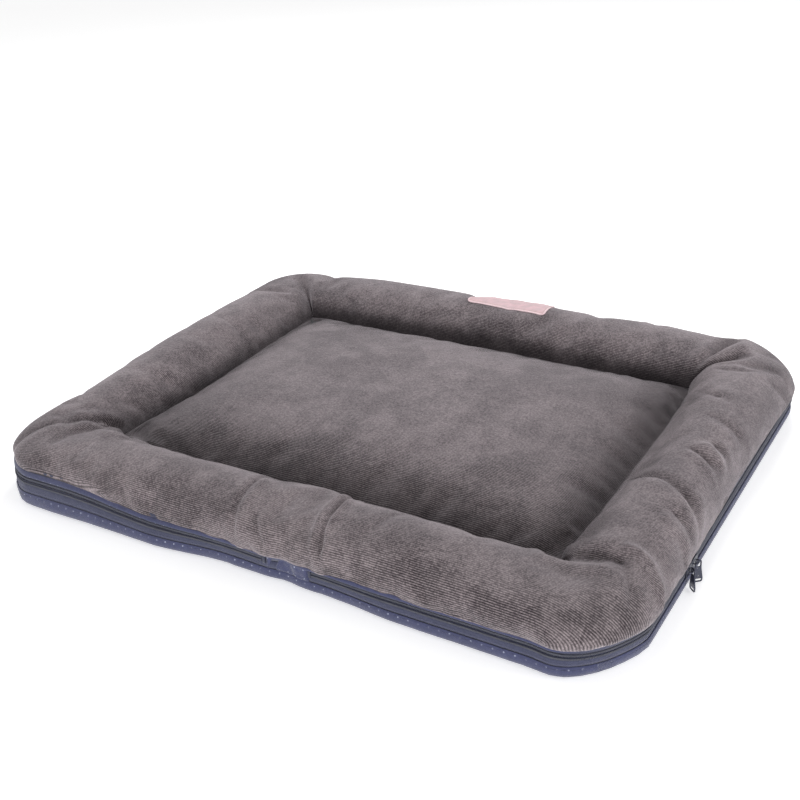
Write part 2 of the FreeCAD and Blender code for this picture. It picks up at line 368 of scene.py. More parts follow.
def copies(name, template, matrices, material):
    """One object made of the same small shape at many places."""
    shape = bpy.data.meshes.new(name + "_one")
    template.to_mesh(shape)
    template.free()
    bm = bmesh.new()
    for matrix in matrices:
        shape.transform(matrix)
        bm.from_mesh(shape)
        shape.transform(matrix.inverted())
    bpy.data.meshes.remove(shape)
    return new_piece(name, bm, material)


def edge_frame(distance, inset, height, context):
    """The matrix of a small shape on the edge: X along the seam, Y outwards, Z up."""
    step = 0.6 * MM
    here = edge_point(distance, inset, height, context)
    ahead = edge_point(distance + step, inset, height, context) - here
    ahead.normalize()
    up = Vector((0, 0, 1))
    out = ahead.cross(up).normalized()
    up = out.cross(ahead)
    matrix = Matrix((ahead, out, up)).transposed().to_4x4()
    matrix.translation = here
    return matrix


Spot = namedtuple("Spot", "side_x side_y from_x from_y ring")


def ring_grid(rings, columns, rows):
    """A grid whose outer rings will follow the outline, and each vertex's spot in it."""
    across = 2 * rings + columns
    along = 2 * rings + rows
    bm = bmesh.new()
    bmesh.ops.create_grid(bm, x_segments=across, y_segments=along, size=1)
    spots = {}
    for vert in bm.verts:
        i = round((vert.co.x + 1) / 2 * across)
        j = round((vert.co.y + 1) / 2 * along)
        from_x = min(i, across - i)
        from_y = min(j, along - j)
        spots[vert] = Spot(-1 if 2 * i < across else 1, -1 if 2 * j < along else 1,
                           from_x, from_y, min(from_x, from_y, rings))
    return bm, spots


CROWDING = 0.5


def crowded(step, steps, half):
    """Where a line of the centre's grid lies: closer together next to the seams."""
    share = step / steps
    return half * (1 - 2 * (share - CROWDING / (2 * math.pi) * math.sin(2 * math.pi * share)))


def spot_plan(spot, rings, columns, rows, inset):
    """Where a spot lies in plan, once its ring is taken in by an inset."""
    if spot.ring == rings:
        x = crowded(spot.from_x - rings, columns, inner_x)
        y = crowded(spot.from_y - rings, rows, inner_y)
        return Vector((spot.side_x * x, spot.side_y * y, 0))
    radius = corner_radius * (1 - inset / bolster_width)
    on_front = spot.from_y <= spot.from_x
    far, near = (half_length, half_width) if on_front else (half_width, half_length)
    inner, count = (inner_x, columns) if on_front else (inner_y, rows)
    step = spot.from_x if on_front else spot.from_y
    if step >= rings:
        along, out = crowded(step - rings, count, inner), near - inset
    else:
        start = far - inset - radius
        arc = radius * math.pi / 4
        way = (step - spot.ring) / (rings - spot.ring) * (arc + start - inner)
        if way < arc:
            turn = math.pi / 4 - way / radius
            along = start + radius * math.sin(turn)
            out = near - inset - radius + radius * math.cos(turn)
        else:
            along, out = start - (way - arc), near - inset
    x, y = (along, out) if on_front else (out, along)
    return Vector((spot.side_x * x, spot.side_y * y, 0))


def oval(segments, rings, size, lying=False):
    """A small oval, half its size given along X, Y and Z. If lying, its poles are along X."""
    bm = bmesh.new()
    bmesh.ops.create_uvsphere(bm, u_segments=segments, v_segments=rings, radius=1)
    if lying:
        bmesh.ops.rotate(bm, verts=bm.verts, matrix=Matrix.Rotation(math.pi / 2, 3, "Y"))
    bmesh.ops.scale(bm, verts=bm.verts, vec=size)
    return bm


def surface_above(mesh):
    """A function of x and y that gives a mesh's top point there, and its normal."""
    bm = bmesh.new()
    bm.from_mesh(mesh)
    tree = BVHTree.FromBMesh(bm)
    bm.free()
    return lambda x, y: tree.ray_cast(Vector((x, y, 1)), Vector((0, 0, -1)))[:2]


# ---- the corduroy top ----

TOP_RINGS, TOP_COLUMNS, TOP_ROWS = 22, 92, 66

# How square the centre's crown is, and how steeply it falls to the seams, along X and along Y.
CROWN_SQUARE = (3.4, 2.8)
CROWN_STEEP = (0.6, 0.62)

# How far along a bolster its cloth is spread at a corner, and how far its ribs turn there.
CORNER_SPREAD, CORNER_TURN = 0.10, 0.05

# The share of its overhang that a bolster loses at the low corner. It can't lose all of it,
# because bolster_section divides by the sine of the angle that the overhang makes.
MOST_LOST = 0.95


def bolster_section(share, overhang, curl, slack=0.0):
    """Inset and height on a bolster's section, from its outer seam at 0 to its inner one at 1."""
    start = -math.acos(half_bolster / (half_bolster + overhang))
    angle = start + share * (math.pi - start)
    belt = seam_height + curl
    crest = crest_height - slack
    reach = half_bolster + (overhang if angle < math.pi / 2 else 0)
    inset = half_bolster - reach * math.cos(angle)
    if angle > math.pi / 2:
        height = seam_height + (crest - seam_height) * math.sin(angle)
    elif angle > 0:
        height = belt + (crest - belt) * math.sin(angle)
    else:
        height = belt - curl * math.sin(angle) / math.sin(start)
    return inset, height


def section_lengths(overhang, curl):
    """How much cloth lies between each ring of a bolster and its inner seam."""
    points = [Vector(bolster_section(k / TOP_RINGS, overhang, curl)) for k in range(TOP_RINGS + 1)]
    steps = [(b - a).length for a, b in zip(points, points[1:])]
    return [sum(steps[k:]) for k in range(TOP_RINGS + 1)]


def crown(x, y, slack):
    """The height of the centre before it is blown up."""
    share_x, share_y = [(1 - abs(share) ** square) ** steep for share, square, steep
                        in zip((x / inner_x, y / inner_y), CROWN_SQUARE, CROWN_STEEP)]
    return seam_height + (centre_height - slack - seam_height) * share_x * share_y


def unrolled(place, inner, half, top_side):
    """How far out a place of the plan lies once the bolster is laid flat."""
    insets, lengths = top_side
    return inner + float(np.interp(half - place, insets, lengths))


def cloth_place(spot, plan, lengths, diagonals):
    """Where a spot lies on the flat corduroy, whose ribs run along X everywhere. Diagonals give
    each ring's inset, and how far along X its corner point lies."""
    u, v = abs(plan.x), abs(plan.y)
    if spot.ring == TOP_RINGS:
        return spot.side_x * u, spot.side_y * v
    insets, reach = [line[0] for line in diagonals], diagonals[spot.ring][1]
    widest = insets.index(min(insets))
    top_side = insets[widest:], lengths[widest:]
    under = max(lengths[spot.ring] - lengths[widest], 0.0)
    depth = reach - inner_x + inner_y

    def laid_flat(along, out, far, ways):
        (inner_along, half_along), (inner_out, half_out) = ways
        corner = unrolled(far, inner_along, half_along, top_side) + under * slant
        near = 1 - float(smooth(far - along, 0.0, CORNER_SPREAD))
        turned = 1 - float(smooth(far - along, 0.0, CORNER_TURN))
        out = unrolled(out, inner_out, half_out, top_side) + under * (1 - (1 - slant) * turned)
        return along + max(corner - far, 0) * near, out

    ways = (inner_x, half_length), (inner_y, half_width)
    if spot.from_y <= spot.from_x:
        u, v = laid_flat(u, v, reach, ways)
    else:
        v, u = laid_flat(v, u, depth, ways[::-1])
    return spot.side_x * u, spot.side_y * v


Dart = namedtuple("Dart", "side_x side_y reach depth")
DARTS = (
    Dart(-1, 1, 0.52, 13 * MM),
    Dart(1, 1, 0.50, 12 * MM),
    Dart(-1, -1, 0.30, 6 * MM),
    Dart(1, -1, 0.22, 5 * MM),
)
DART_FULLNESS, DART_WIDTH = 0.6, 0.22


def dart_drop(spot):
    """How far a corner's dart pulls a spot down, and whether thread holds the spot."""
    for dart in DARTS:
        if (dart.side_x, dart.side_y) != (spot.side_x, spot.side_y):
            continue
        share = 1 - spot.ring / TOP_RINGS
        if spot.ring == TOP_RINGS or share > dart.reach:
            return 0.0, False
        apart = abs(spot.from_x - spot.from_y) / (TOP_RINGS - spot.ring + 2)
        along = math.sin(math.pi * share / dart.reach) ** DART_FULLNESS
        across = math.exp(-(apart / DART_WIDTH) ** 2)
        return dart.depth * along * across, spot.from_x == spot.from_y
    return 0.0, False


def drawn_top(context):
    """The corduroy as it is sewn, before its fibre swells, and the indices that thread holds."""
    top = active(context, "top")
    lengths = section_lengths(top.overhang, top.curl)
    bm, spots = ring_grid(TOP_RINGS, TOP_COLUMNS, TOP_ROWS)
    diagonals = []
    for ring in range(TOP_RINGS + 1):
        inset = bolster_section(ring / TOP_RINGS, top.overhang, top.curl)[0]
        radius = corner_radius * (1 - inset / bolster_width)
        diagonals.append((inset, half_length - inset - radius * (1 - slant)))
    places, held = {}, []
    bm.verts.index_update()
    for vert, spot in spots.items():
        lean = (spot.from_y - spot.from_x) / TOP_RINGS
        right = float(smooth(lean, -0.5, 0.5)) if spot.side_x > 0 else 0.0
        overhang = top.overhang + (top.right_overhang - top.overhang) * right
        rough = spot_plan(spot, TOP_RINGS, TOP_COLUMNS, TOP_ROWS, half_bolster)
        overhang *= 1 - MOST_LOST * low_corner(rough.x, rough.y)
        inset, height = bolster_section(spot.ring / TOP_RINGS, overhang, top.curl, top.slack)
        plan = spot_plan(spot, TOP_RINGS, TOP_COLUMNS, TOP_ROWS, inset)
        places[vert] = cloth_place(spot, plan, lengths, diagonals)
        on_centre = spot.ring == TOP_RINGS
        plan.z = crown(plan.x, plan.y, top.slack) if on_centre else height
        drop, sewn = dart_drop(spot)
        plan.z -= drop
        vert.co = settled(plan, context)
        rim = spot.ring == 0
        inner_seam = on_centre and min(spot.from_x, spot.from_y) == TOP_RINGS
        if rim or inner_seam or sewn:
            held.append(vert.index)
    write_map(bm, places)
    return bm, held


def blown_up(piece, held, context):
    """Swells a cloth with its fibre, and caps how far each point moves."""
    top = active(context, "top")
    scene = context.scene
    group = piece.vertex_groups.new(name="held")
    group.add(held, 1.0, "REPLACE")
    cloth = piece.modifiers.new("Cloth", "CLOTH")
    how = cloth.settings
    how.quality = 6
    how.mass = 0.3
    how.tension_stiffness = 15
    how.compression_stiffness = 15
    how.shear_stiffness = 5
    how.bending_stiffness = 3
    how.use_pressure = True
    how.uniform_pressure_force = top.pressure
    how.effector_weights.gravity = 0
    how.vertex_group_mass = "held"
    how.shrink_min = -top.growth
    cloth.point_cache.frame_start = 1
    cloth.point_cache.frame_end = top.frames
    for number in range(1, top.frames + 1):
        scene.frame_set(number)
    before = vertex_array(piece.data)
    after = vertex_array(piece.evaluated_get(context.evaluated_depsgraph_get()).data)
    piece.modifiers.remove(cloth)
    scene.frame_set(1)
    move = after - before
    size = np.linalg.norm(move, axis=1, keepdims=True) + 1e-9
    cap = top.most_moved
    write_vertices(piece.data, before + move / size * cap * np.tanh(size / cap))


def read_array(items, name, width):
    """One value of every item of a mesh, as an array of rows."""
    flat = np.zeros(len(items) * width, np.float32)
    items.foreach_get(name, flat)
    return flat.reshape(-1, width).astype(float)


def vertex_array(mesh):
    """A mesh's vertices as an array."""
    return read_array(mesh.vertices, "co", 3)


def write_vertices(mesh, places):
    """Writes an array back to a mesh's vertices."""
    mesh.vertices.foreach_set("co", places.astype(np.float32).ravel())
    mesh.update()


def map_array(mesh):
    """Each vertex's place on the flat cloth, as an array."""
    corner = np.zeros(len(mesh.loops), np.int32)
    mesh.loops.foreach_get("vertex_index", corner)
    places = np.zeros((len(mesh.vertices), 2))
    places[corner] = read_array(mesh.uv_layers["cloth"].data, "uv", 2)
    return places


SEAM_WALL, ON_SEAM = 0.25 * MM, 0.1 * MM


def parted(places, flat):
    """Keeps the bolsters and the centre each on its own side of the seam between them."""
    out_x = np.abs(flat[:, 0]) - inner_x
    out_y = np.abs(flat[:, 1]) - inner_y
    on_seam = np.maximum(out_x, out_y)
    centre = on_seam < -ON_SEAM
    for axis, inner in ((0, inner_x), (1, inner_y)):
        limit = np.clip(places[:, axis], SEAM_WALL - inner, inner - SEAM_WALL)
        places[centre, axis] = limit[centre]
    bolster = on_seam > ON_SEAM
    for axis, inner, out, other in ((0, inner_x, out_x, out_y), (1, inner_y, out_y, out_x)):
        mine = bolster & (out >= other)
        reach = np.maximum(np.abs(places[:, axis]), inner + SEAM_WALL) * np.sign(flat[:, axis])
        places[mine, axis] = reach[mine]
    return places


Fold = namedtuple("Fold", "points depth width overlap")

# All of a fold's numbers are in millimetres. A depth below 0 makes a ridge, and an overlap lifts
# the cloth on the left of the way that the points go and lowers it on the right.
FOLDS = (
    # right bolster
    Fold(((262, -54, 46), (290, -63, 60), (321, -77, 65), (344, -94, 63), (360, -106, 48)),
         2.4, 6, -2.4),
    Fold(((328, -74, 65), (346, -88, 62), (358, -100, 52), (361, -104, 40)), 2.6, 4.5, 1.2),
    Fold(((326, -108, 65), (346, -120, 61), (358, -128, 52), (360, -131, 40)), 3.0, 5, -1.6),
    Fold(((306, -2, 65), (332, -14, 64), (350, -27, 58), (360, -36, 44)), 4.6, 4.5, 1.6),
    Fold(((320, 16, 65), (343, 2, 62), (357, -14, 50), (360, -20, 40)), 3.0, 4.5, -1.0),
    Fold(((270, 132, 58), (290, 112, 65), (312, 100, 65)), 2.0, 5, 0.8),
    Fold(((300, 66, 65), (330, 52, 64), (354, 42, 54)), 1.6, 6, 0.6),
    # back right corner: the end of the right bolster laps over the back one
    Fold(((238, 156, 32), (250, 172, 52), (261, 196, 63), (269, 226, 64), (276, 254, 56)),
         6.5, 6, -3.0),
    # back left corner
    Fold(((-238, 158, 32), (-258, 178, 54), (-282, 202, 64), (-304, 226, 62)), 5.0, 5.5, 1.6),
    # front left corner
    Fold(((-305, -196, 63), (-270, -198, 65), (-236, -212, 64), (-206, -204, 64)), -2.6, 9, 0.0),
    Fold(((-246, -172, 40), (-272, -188, 60), (-300, -212, 64)), 5.0, 5.5, 1.8),
    Fold(((-242, -178, 40), (-226, -192, 58), (-196, -206, 64)), 2.6, 6, -1.0),
    Fold(((-300, -214, 64), (-316, -236, 58), (-320, -262, 44)), 2.2, 6, 0.8),
    # front right corner
    Fold(((244, -183, 34), (270, -190, 46), (294, -190, 54), (314, -187, 59)), 6.5, 8.5, 0.0),
    Fold(((306, -174, 60), (330, -182, 63), (346, -192, 58), (357, -206, 42)), -2.4, 6, 1.6),
    Fold(((304, -186, 64), (324, -204, 62), (338, -230, 52)), 2.6, 5.5, -1.2),
    Fold(((240, -206, 64), (280, -205, 65), (312, -200, 62)), -2.0, 8, 0.0),
    # front bolster
    Fold(((-38, -184, 42), (-35, -204, 60), (-31, -224, 65), (-26, -252, 60), (-21, -275, 46),
          (-20, -281, 34)), 2.6, 3.4, 1.6),
    Fold(((60, -182, 40), (59, -202, 60), (61, -224, 65), (66, -254, 59), (72, -276, 46),
          (74, -282, 32)), 5.5, 2.7, -1.6),
    Fold(((76, -256, 59), (72, -272, 50), (66, -281, 36)), 1.8, 4.0, 0.8),
    Fold(((-6, -258, 59), (8, -274, 47), (18, -281, 34)), 2.0, 3.6, 0.9),
    Fold(((120, -200, 62), (112, -232, 64), (104, -262, 56)), 1.0, 6, -0.5),
    Fold(((-60, -268, 54), (-66, -280, 42), (-66, -281, 33)), 1.0, 7, 0.4),
    Fold(((-158, -262, 58), (-164, -278, 46), (-168, -281, 34)), 1.0, 7, -0.5),
    # left bolster
    Fold(((-260, 50, 48), (-292, 60, 64), (-322, 64, 64)), 1.2, 8, 0.6),
    Fold(((-262, -72, 48), (-290, -84, 63), (-320, -90, 64)), 1.0, 8, -0.6),
    Fold(((-330, -146, 62), (-350, -158, 50), (-354, -164, 38)), 1.8, 6, 0.6),
    # back bolster
    Fold(((96, 186, 46), (88, 216, 65), (80, 244, 63)), 1.4, 8, 0.6),
    Fold(((-110, 186, 46), (-122, 214, 65), (-130, 242, 63)), 1.2, 8, -0.6),
    Fold(((176, 250, 60), (184, 268, 52), (188, 278, 40)), 1.8, 7, 0.6),
    Fold(((-40, 250, 60), (-46, 268, 52), (-48, 278, 40)), 1.6, 7, -0.6),
    # centre
    Fold(((240, -160, 38), (212, -134, 55), (180, -112, 58)), 1.6, 9, 0.6),
    Fold(((-240, 152, 36), (-210, 122, 55), (-180, 104, 57)), 1.2, 9, -0.5),
)


LINE_STEPS = 6

# How many times as deep as its own numbers every fold is made.
FOLD_STRENGTH = 1.5

# The shape of a fold across its line, in widths from the line. The blunt value keeps the bottom
# of a crease from being a knife edge.
CREASE_STEEP, CREASE_BLUNT = 1.5, 0.03
SHOULDER_HEIGHT, SHOULDER_AWAY, SHOULDER_WIDE = 0.30, 2.2, 1.3
LAP_EDGE, LAP_REACH = 0.4, 1.6
FOLD_REACH = 5

# The shares of a fold's length over which it begins and ends, and how much it loses by its end.
FOLD_BEGINS, FOLD_ENDS, END_LOSS = (0.0, 0.15), (0.75, 1.0), 0.55


def smooth_line(points):
    """More points along a line through a few, on an even curve."""
    spots = [Vector(point) * MM for point in points]
    spots = [2 * spots[0] - spots[1], *spots, 2 * spots[-1] - spots[-2]]
    line = []
    for a, b, c, d in zip(spots, spots[1:], spots[2:], spots[3:]):
        for number in range(LINE_STEPS):
            t = number / LINE_STEPS
            line.append(0.5 * (2 * b + (c - a) * t + (2 * a - 5 * b + 4 * c - d) * t ** 2
                               + (3 * b - a - 3 * c + d) * t ** 3))
    line.append(spots[-2])
    return line


def fold_field(places, normals, fold):
    """How far one fold moves each point along its normal."""
    line = smooth_line(fold.points)
    width = fold.width * MM
    spots = np.array(line)
    margin = FOLD_REACH * width
    inside = np.all((places > spots.min(0) - margin) & (places < spots.max(0) + margin), axis=1)
    move = np.zeros(len(places))
    near_places, near_normals = places[inside], normals[inside]
    lengths = [0.0]
    for a, b in zip(line, line[1:]):
        lengths.append(lengths[-1] + (b - a).length)
    best = np.full(len(near_places), 1.0)
    share = np.zeros(len(near_places))
    side = np.zeros(len(near_places))
    for k, (a, b) in enumerate(zip(line, line[1:])):
        start, run = np.array(a), np.array(b - a)
        length = np.linalg.norm(run)
        t = np.clip((near_places - start) @ run / length ** 2, 0, 1)
        away = near_places - start - t[:, None] * run
        gap = np.linalg.norm(away, axis=1)
        nearer = gap < best
        best[nearer] = gap[nearer]
        share[nearer] = ((lengths[k] + t * length) / lengths[-1])[nearer]
        left = np.einsum("ij,ij->i", np.cross(near_normals, run / length), away)
        side[nearer] = left[nearer]
    if fold.depth > 0:
        near = np.exp(-np.sqrt((best / width) ** 2 + CREASE_BLUNT) * CREASE_STEEP)
    else:
        near = np.exp(-(best / width) ** 2)
    beside = (best - SHOULDER_AWAY * width) / (SHOULDER_WIDE * width)
    shoulder = SHOULDER_HEIGHT * np.exp(-beside ** 2)
    taper = smooth(share, *FOLD_BEGINS) * (1 - END_LOSS * smooth(share, *FOLD_ENDS))
    cut = -fold.depth * (near - shoulder) * taper
    turned_up = np.tanh(side / (LAP_EDGE * width))
    lap = fold.overlap * turned_up * np.exp(-best / (LAP_REACH * width)) * taper
    move[inside] = (cut + lap) * FOLD_STRENGTH * MM
    return move


def lumps(places, scale, seed):
    """Slow, uneven swells in the fibre, from -1 to 1."""
    shift = Vector((seed, -seed, 2 * seed))
    return np.array([noise.noise(Vector(p) / scale + shift) for p in places])


# The overhang and curl of the bolster section that distances from the rim are measured on. They
# are fixed, and a little fuller than the drawn section's.
FOLD_SECTION = (0.006, 0.007)

# How far from an inner seam, and from the rim, a fold has its full depth.
FREE_OF_SEAM, FREE_OF_RIM = 16 * MM, 14 * MM

# How high the fibre's lumps are, in millimetres, their size in metres, and a seed for each.
LUMPS = ((2.4, 0.16, 3.0), (0.6, 0.060, 8.0), (0.12, 0.018, 5.0))

# The puckers beside a seam: how far from it, how wide the row is, and how high, in millimetres.
SEAM_PUCKERS, RIM_PUCKERS = (9, 7, 0.9), (8, 8, 0.8)
PUCKER_SIZE, PUCKER_SEED = 0.017, 12.0

# The front bolster's lower edge hangs unevenly over the zip: where on the cloth it begins and
# ends, over which part of the front, how far in millimetres, and how it varies.
DROOP_BEGINS, DROOP_ENDS = (0, 5 * MM), (10 * MM, 34 * MM)
DROOP_FRONT, DROOP_LEFT, DROOP_RIGHT = (0.20, 0.262), (-0.20, -0.12), (0.300, 0.330)
DROOP_DEPTH, DROOP_USUAL, DROOP_CHANGE = 2.6, 0.8, 0.4
DROOP_SIZE, DROOP_SEED = 0.05, 21.0


def pucker_row(distance, row):
    """How high the puckers are at a distance from a seam."""
    away, width, height = row
    return np.exp(-((distance - away * MM) / (width * MM)) ** 2) * height


def folded(mesh):
    """Adds the folds, lumps and puckers to the blown-up corduroy."""
    places, flat = vertex_array(mesh), map_array(mesh)
    normals = read_array(mesh.vertex_normals, "vector", 3)
    seam_gap = np.maximum(np.abs(flat[:, 0]) - inner_x, np.abs(flat[:, 1]) - inner_y)
    rim_gap = section_lengths(*FOLD_SECTION)[0] - seam_gap
    free = smooth(np.abs(seam_gap), 0, FREE_OF_SEAM) * smooth(rim_gap, 0, FREE_OF_RIM)
    move = sum(fold_field(places, normals, fold) for fold in FOLDS)
    for height, size, seed in LUMPS:
        move += lumps(places, size, seed) * height * MM
    gather = lumps(places * (1, 1, 0), PUCKER_SIZE, PUCKER_SEED)
    rows = pucker_row(np.abs(seam_gap), SEAM_PUCKERS) + pucker_row(rim_gap, RIM_PUCKERS)
    puckers = gather * rows * MM
    places = places + normals * (move * free + puckers)[:, None]
    droop = smooth(rim_gap, *DROOP_BEGINS) * (1 - smooth(rim_gap, *DROOP_ENDS))
    front = smooth(-places[:, 1], *DROOP_FRONT) * smooth(places[:, 0], *DROOP_LEFT)
    front = front * (1 - smooth(places[:, 0], *DROOP_RIGHT))
    waver = lumps(places * (1, 1, 0), DROOP_SIZE, DROOP_SEED)
    uneven = DROOP_USUAL + DROOP_CHANGE * waver
    places[:, 2] -= droop * front * uneven * DROOP_DEPTH * MM
    write_vertices(mesh, parted(places, flat))


# How far above the sliders the corduroy is kept, and how far past the straight part of the side.
SLIDER_CLEARANCE, PAST_CORNER = 1.0 * MM, 0.01


def clear_of_sliders(mesh):
    """Keeps the right bolster's overhang above the sliders and their pulls."""
    places = vertex_array(mesh)
    beside = np.abs(places[:, 1]) < straight_y + PAST_CORNER
    over = (places[:, 0] > half_length) & beside
    places[over, 2] = np.maximum(places[over, 2], slider_high.z + SLIDER_CLEARANCE)
    write_vertices(mesh, places)


def evaluated_copy(piece, context):
    """The piece's mesh with its modifiers applied."""
    depsgraph = context.evaluated_depsgraph_get()
    return bpy.data.meshes.new_from_object(piece.evaluated_get(depsgraph),
                                           preserve_all_data_layers=True, depsgraph=depsgraph)


def finely_divided(piece, context):
    """Applies two levels of subdivision to a piece."""
    finer = piece.modifiers.new("Subdivision", "SUBSURF")
    finer.levels = 2
    finer.render_levels = 2
    context.view_layer.update()
    mesh = evaluated_copy(piece, context)
    piece.modifiers.remove(finer)
    piece.data = mesh


def closed_below(mesh):
    """Closes a cloth's open underside with one face."""
    bm = bmesh.new()
    bm.from_mesh(mesh)
    rim = [edge for edge in bm.edges if edge.is_boundary]
    made = bmesh.ops.edgeloop_fill(bm, edges=rim)
    for face in made["faces"]:
        face.normal_update()
        if face.normal.z > 0:
            face.normal_flip()
        face.smooth = False
    bm.to_mesh(mesh)
    bm.free()


class BedCorduroyTop(bpy.types.Operator):
    """Sew the corduroy, swell it with fibre and fold it where it creases"""

    bl_idname = "bed.corduroy_top"
    bl_label = "Corduroy top"

    def execute(self, context):
        bm, held = drawn_top(context)
        piece = new_piece("corduroy_top", bm, corduroy(context))
        blown_up(piece, held, context)
        flat = map_array(piece.data)
        write_vertices(piece.data, parted(vertex_array(piece.data), flat))
        finely_divided(piece, context)
        folded(piece.data)
        clear_of_sliders(piece.data)
        closed_below(piece.data)
        fills = [side + "_bolster_fill" for side in ("front", "right", "back", "left")]
        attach(piece, "bed")
        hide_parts("top_cover", "centre_fill", *fills)
        return {"FINISHED"}


# ---- inside ----


class BedLining(bpy.types.Operator):
    """Lay the lining that closes the stuffed top from below"""

    bl_idname = "bed.lining"
    bl_label = "Lining"

    def execute(self, context):
        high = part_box("lining_panel")[1]
        rings, columns, rows = 6, 40, 30
        bm, spots = ring_grid(rings, columns, rows)
        places = {}
        for vert, spot in spots.items():
            edge = half_length - high.x
            inset = edge + spot.ring / rings * (bolster_width - half_length + high.x)
            plan = spot_plan(spot, rings, columns, rows, inset)
            places[vert] = (plan.x, plan.y)
            plan.z = high.z - 0.25 * MM + noise.noise(plan * 40) * 0.2 * MM
            vert.co = plan
        write_map(bm, places)
        bmesh.ops.reverse_faces(bm, faces=bm.faces)
        piece = thickened(new_piece("lining_cloth", bm, lining_finish()), 0.3 * MM)
        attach(piece, "bed")
        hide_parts("lining_panel")
        return {"FINISHED"}


PAD_CLEARANCE = 4 * MM
PAD_FULLNESS = 1.6
QUILTING, QUILT_LOW, QUILT_SWELL, QUILT_ROUND = 30, 0.86, 0.10, 0.3


class BedLoosePad(bpy.types.Operator):
    """Fill the base with its loose quilted pad"""

    bl_idname = "bed.loose_pad"
    bl_label = "Loose pad"

    def execute(self, context):
        rings, columns, rows = 10, 50, 36
        middle = (pad_low.z + pad_high.z) / 2
        half = (pad_high.z - pad_low.z) / 2
        edge = half_length - pad_high.x + PAD_CLEARANCE
        bm, spots = ring_grid(rings, columns, rows)
        for vert, spot in spots.items():
            share = spot.ring / rings
            inset = edge + share ** 2 * (bolster_width - edge)
            plan = spot_plan(spot, rings, columns, rows, inset)
            rise = math.sqrt(1 - (1 - min(share * PAD_FULLNESS, 1)) ** 2)
            quilt = abs(math.sin(plan.x * QUILTING) * math.sin(plan.y * QUILTING)) ** QUILT_ROUND
            plan.z = half * rise * (QUILT_LOW + QUILT_SWELL * quilt)
            vert.co = plan + leaning(plan, 0.0) * (1 - share)
        upper = list(bm.faces)
        made = bmesh.ops.duplicate(bm, geom=bm.verts[:] + bm.edges[:] + upper)["geom"]
        lower = [item for item in made if isinstance(item, bmesh.types.BMVert)]
        faces = [item for item in made if isinstance(item, bmesh.types.BMFace)]
        bmesh.ops.scale(bm, vec=(1, 1, -1), verts=lower)
        bmesh.ops.reverse_faces(bm, faces=faces)
        bmesh.ops.remove_doubles(bm, verts=bm.verts, dist=0.02 * MM)
        bmesh.ops.translate(bm, vec=(0, 0, middle), verts=bm.verts)
        piece = new_piece("loose_pad", bm, liner_finish())
        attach(piece, "bed")
        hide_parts("insert_liner", "insert_pad")
        return {"FINISHED"}


# ---- the base cloth ----

# Inset and height, in millimetres, from the turned-in hem down the wall and under the pad.
BASE_WALL = ((1.5, 10.6), (1.35, 12.0), (0.9, 12.6), (0.35, 12.3), (0.05, 11.2), (-0.1, 8.6),
             (0.1, 6.0), (1.0, 3.2), (2.8, 1.3), (5.2, 0.35), (8.5, 0.0), (18, 0.0), (38, 0.0),
             (66, 0.0))

# The wall's bellies: how often in a metre, how deep in millimetres, and a seed.
BELLIES = ((24, 2.0, 3), (75, 0.8, 9))


class BedBaseCloth(bpy.types.Operator):
    """Shape the navy base cloth, flat below with a low wall"""

    bl_idname = "bed.base_cloth"
    bl_label = "Base cloth"

    def execute(self, context):
        rings, columns, rows = len(BASE_WALL), 84, 60
        bm, spots = ring_grid(rings, columns, rows)
        profile = [Vector(point) * MM for point in BASE_WALL] + [Vector((bolster_width, 0))]
        steps = [0.0]
        for a, b in zip(profile, profile[1:]):
            steps.append(steps[-1] + (b - a).length)
        places = {}
        for vert, spot in spots.items():
            inset, height = profile[spot.ring]
            plan = spot_plan(spot, rings, columns, rows, inset)
            loose = looseness(plan.x)
            belly = sum(noise.noise(Vector((plan.x, plan.y, seed)) * often) * depth * MM
                        for often, depth, seed in BELLIES)
            belly *= loose * math.sin(math.pi * min(height / wall_height, 1))
            out = Vector((plan.x / half_length, plan.y / half_width, 0)).normalized()
            spare = steps[-1] - steps[spot.ring] if spot.ring < rings else 0.0
            if spot.from_y <= spot.from_x:
                flat = (plan.x, spot.side_y * (inner_y + spare) if spare else plan.y)
            else:
                flat = (spot.side_x * (inner_x + spare) if spare else plan.x, plan.y)
            places[vert] = flat
            plan.z = height
            vert.co = settled(plan + out * belly, context)
        write_map(bm, places)
        bmesh.ops.reverse_faces(bm, faces=bm.faces)
        piece = thickened(new_piece("base_cloth", bm, base_finish(context)), 0.7 * MM)
        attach(piece, "bed")
        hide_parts("base_fabric")
        return {"FINISHED"}


# ---- the zip ----


def whole_way():
    """The span of a band that goes all the way round, starting behind the end tab."""
    start = (tab_low.x + tab_high.x) / 2
    return start, start + perimeter


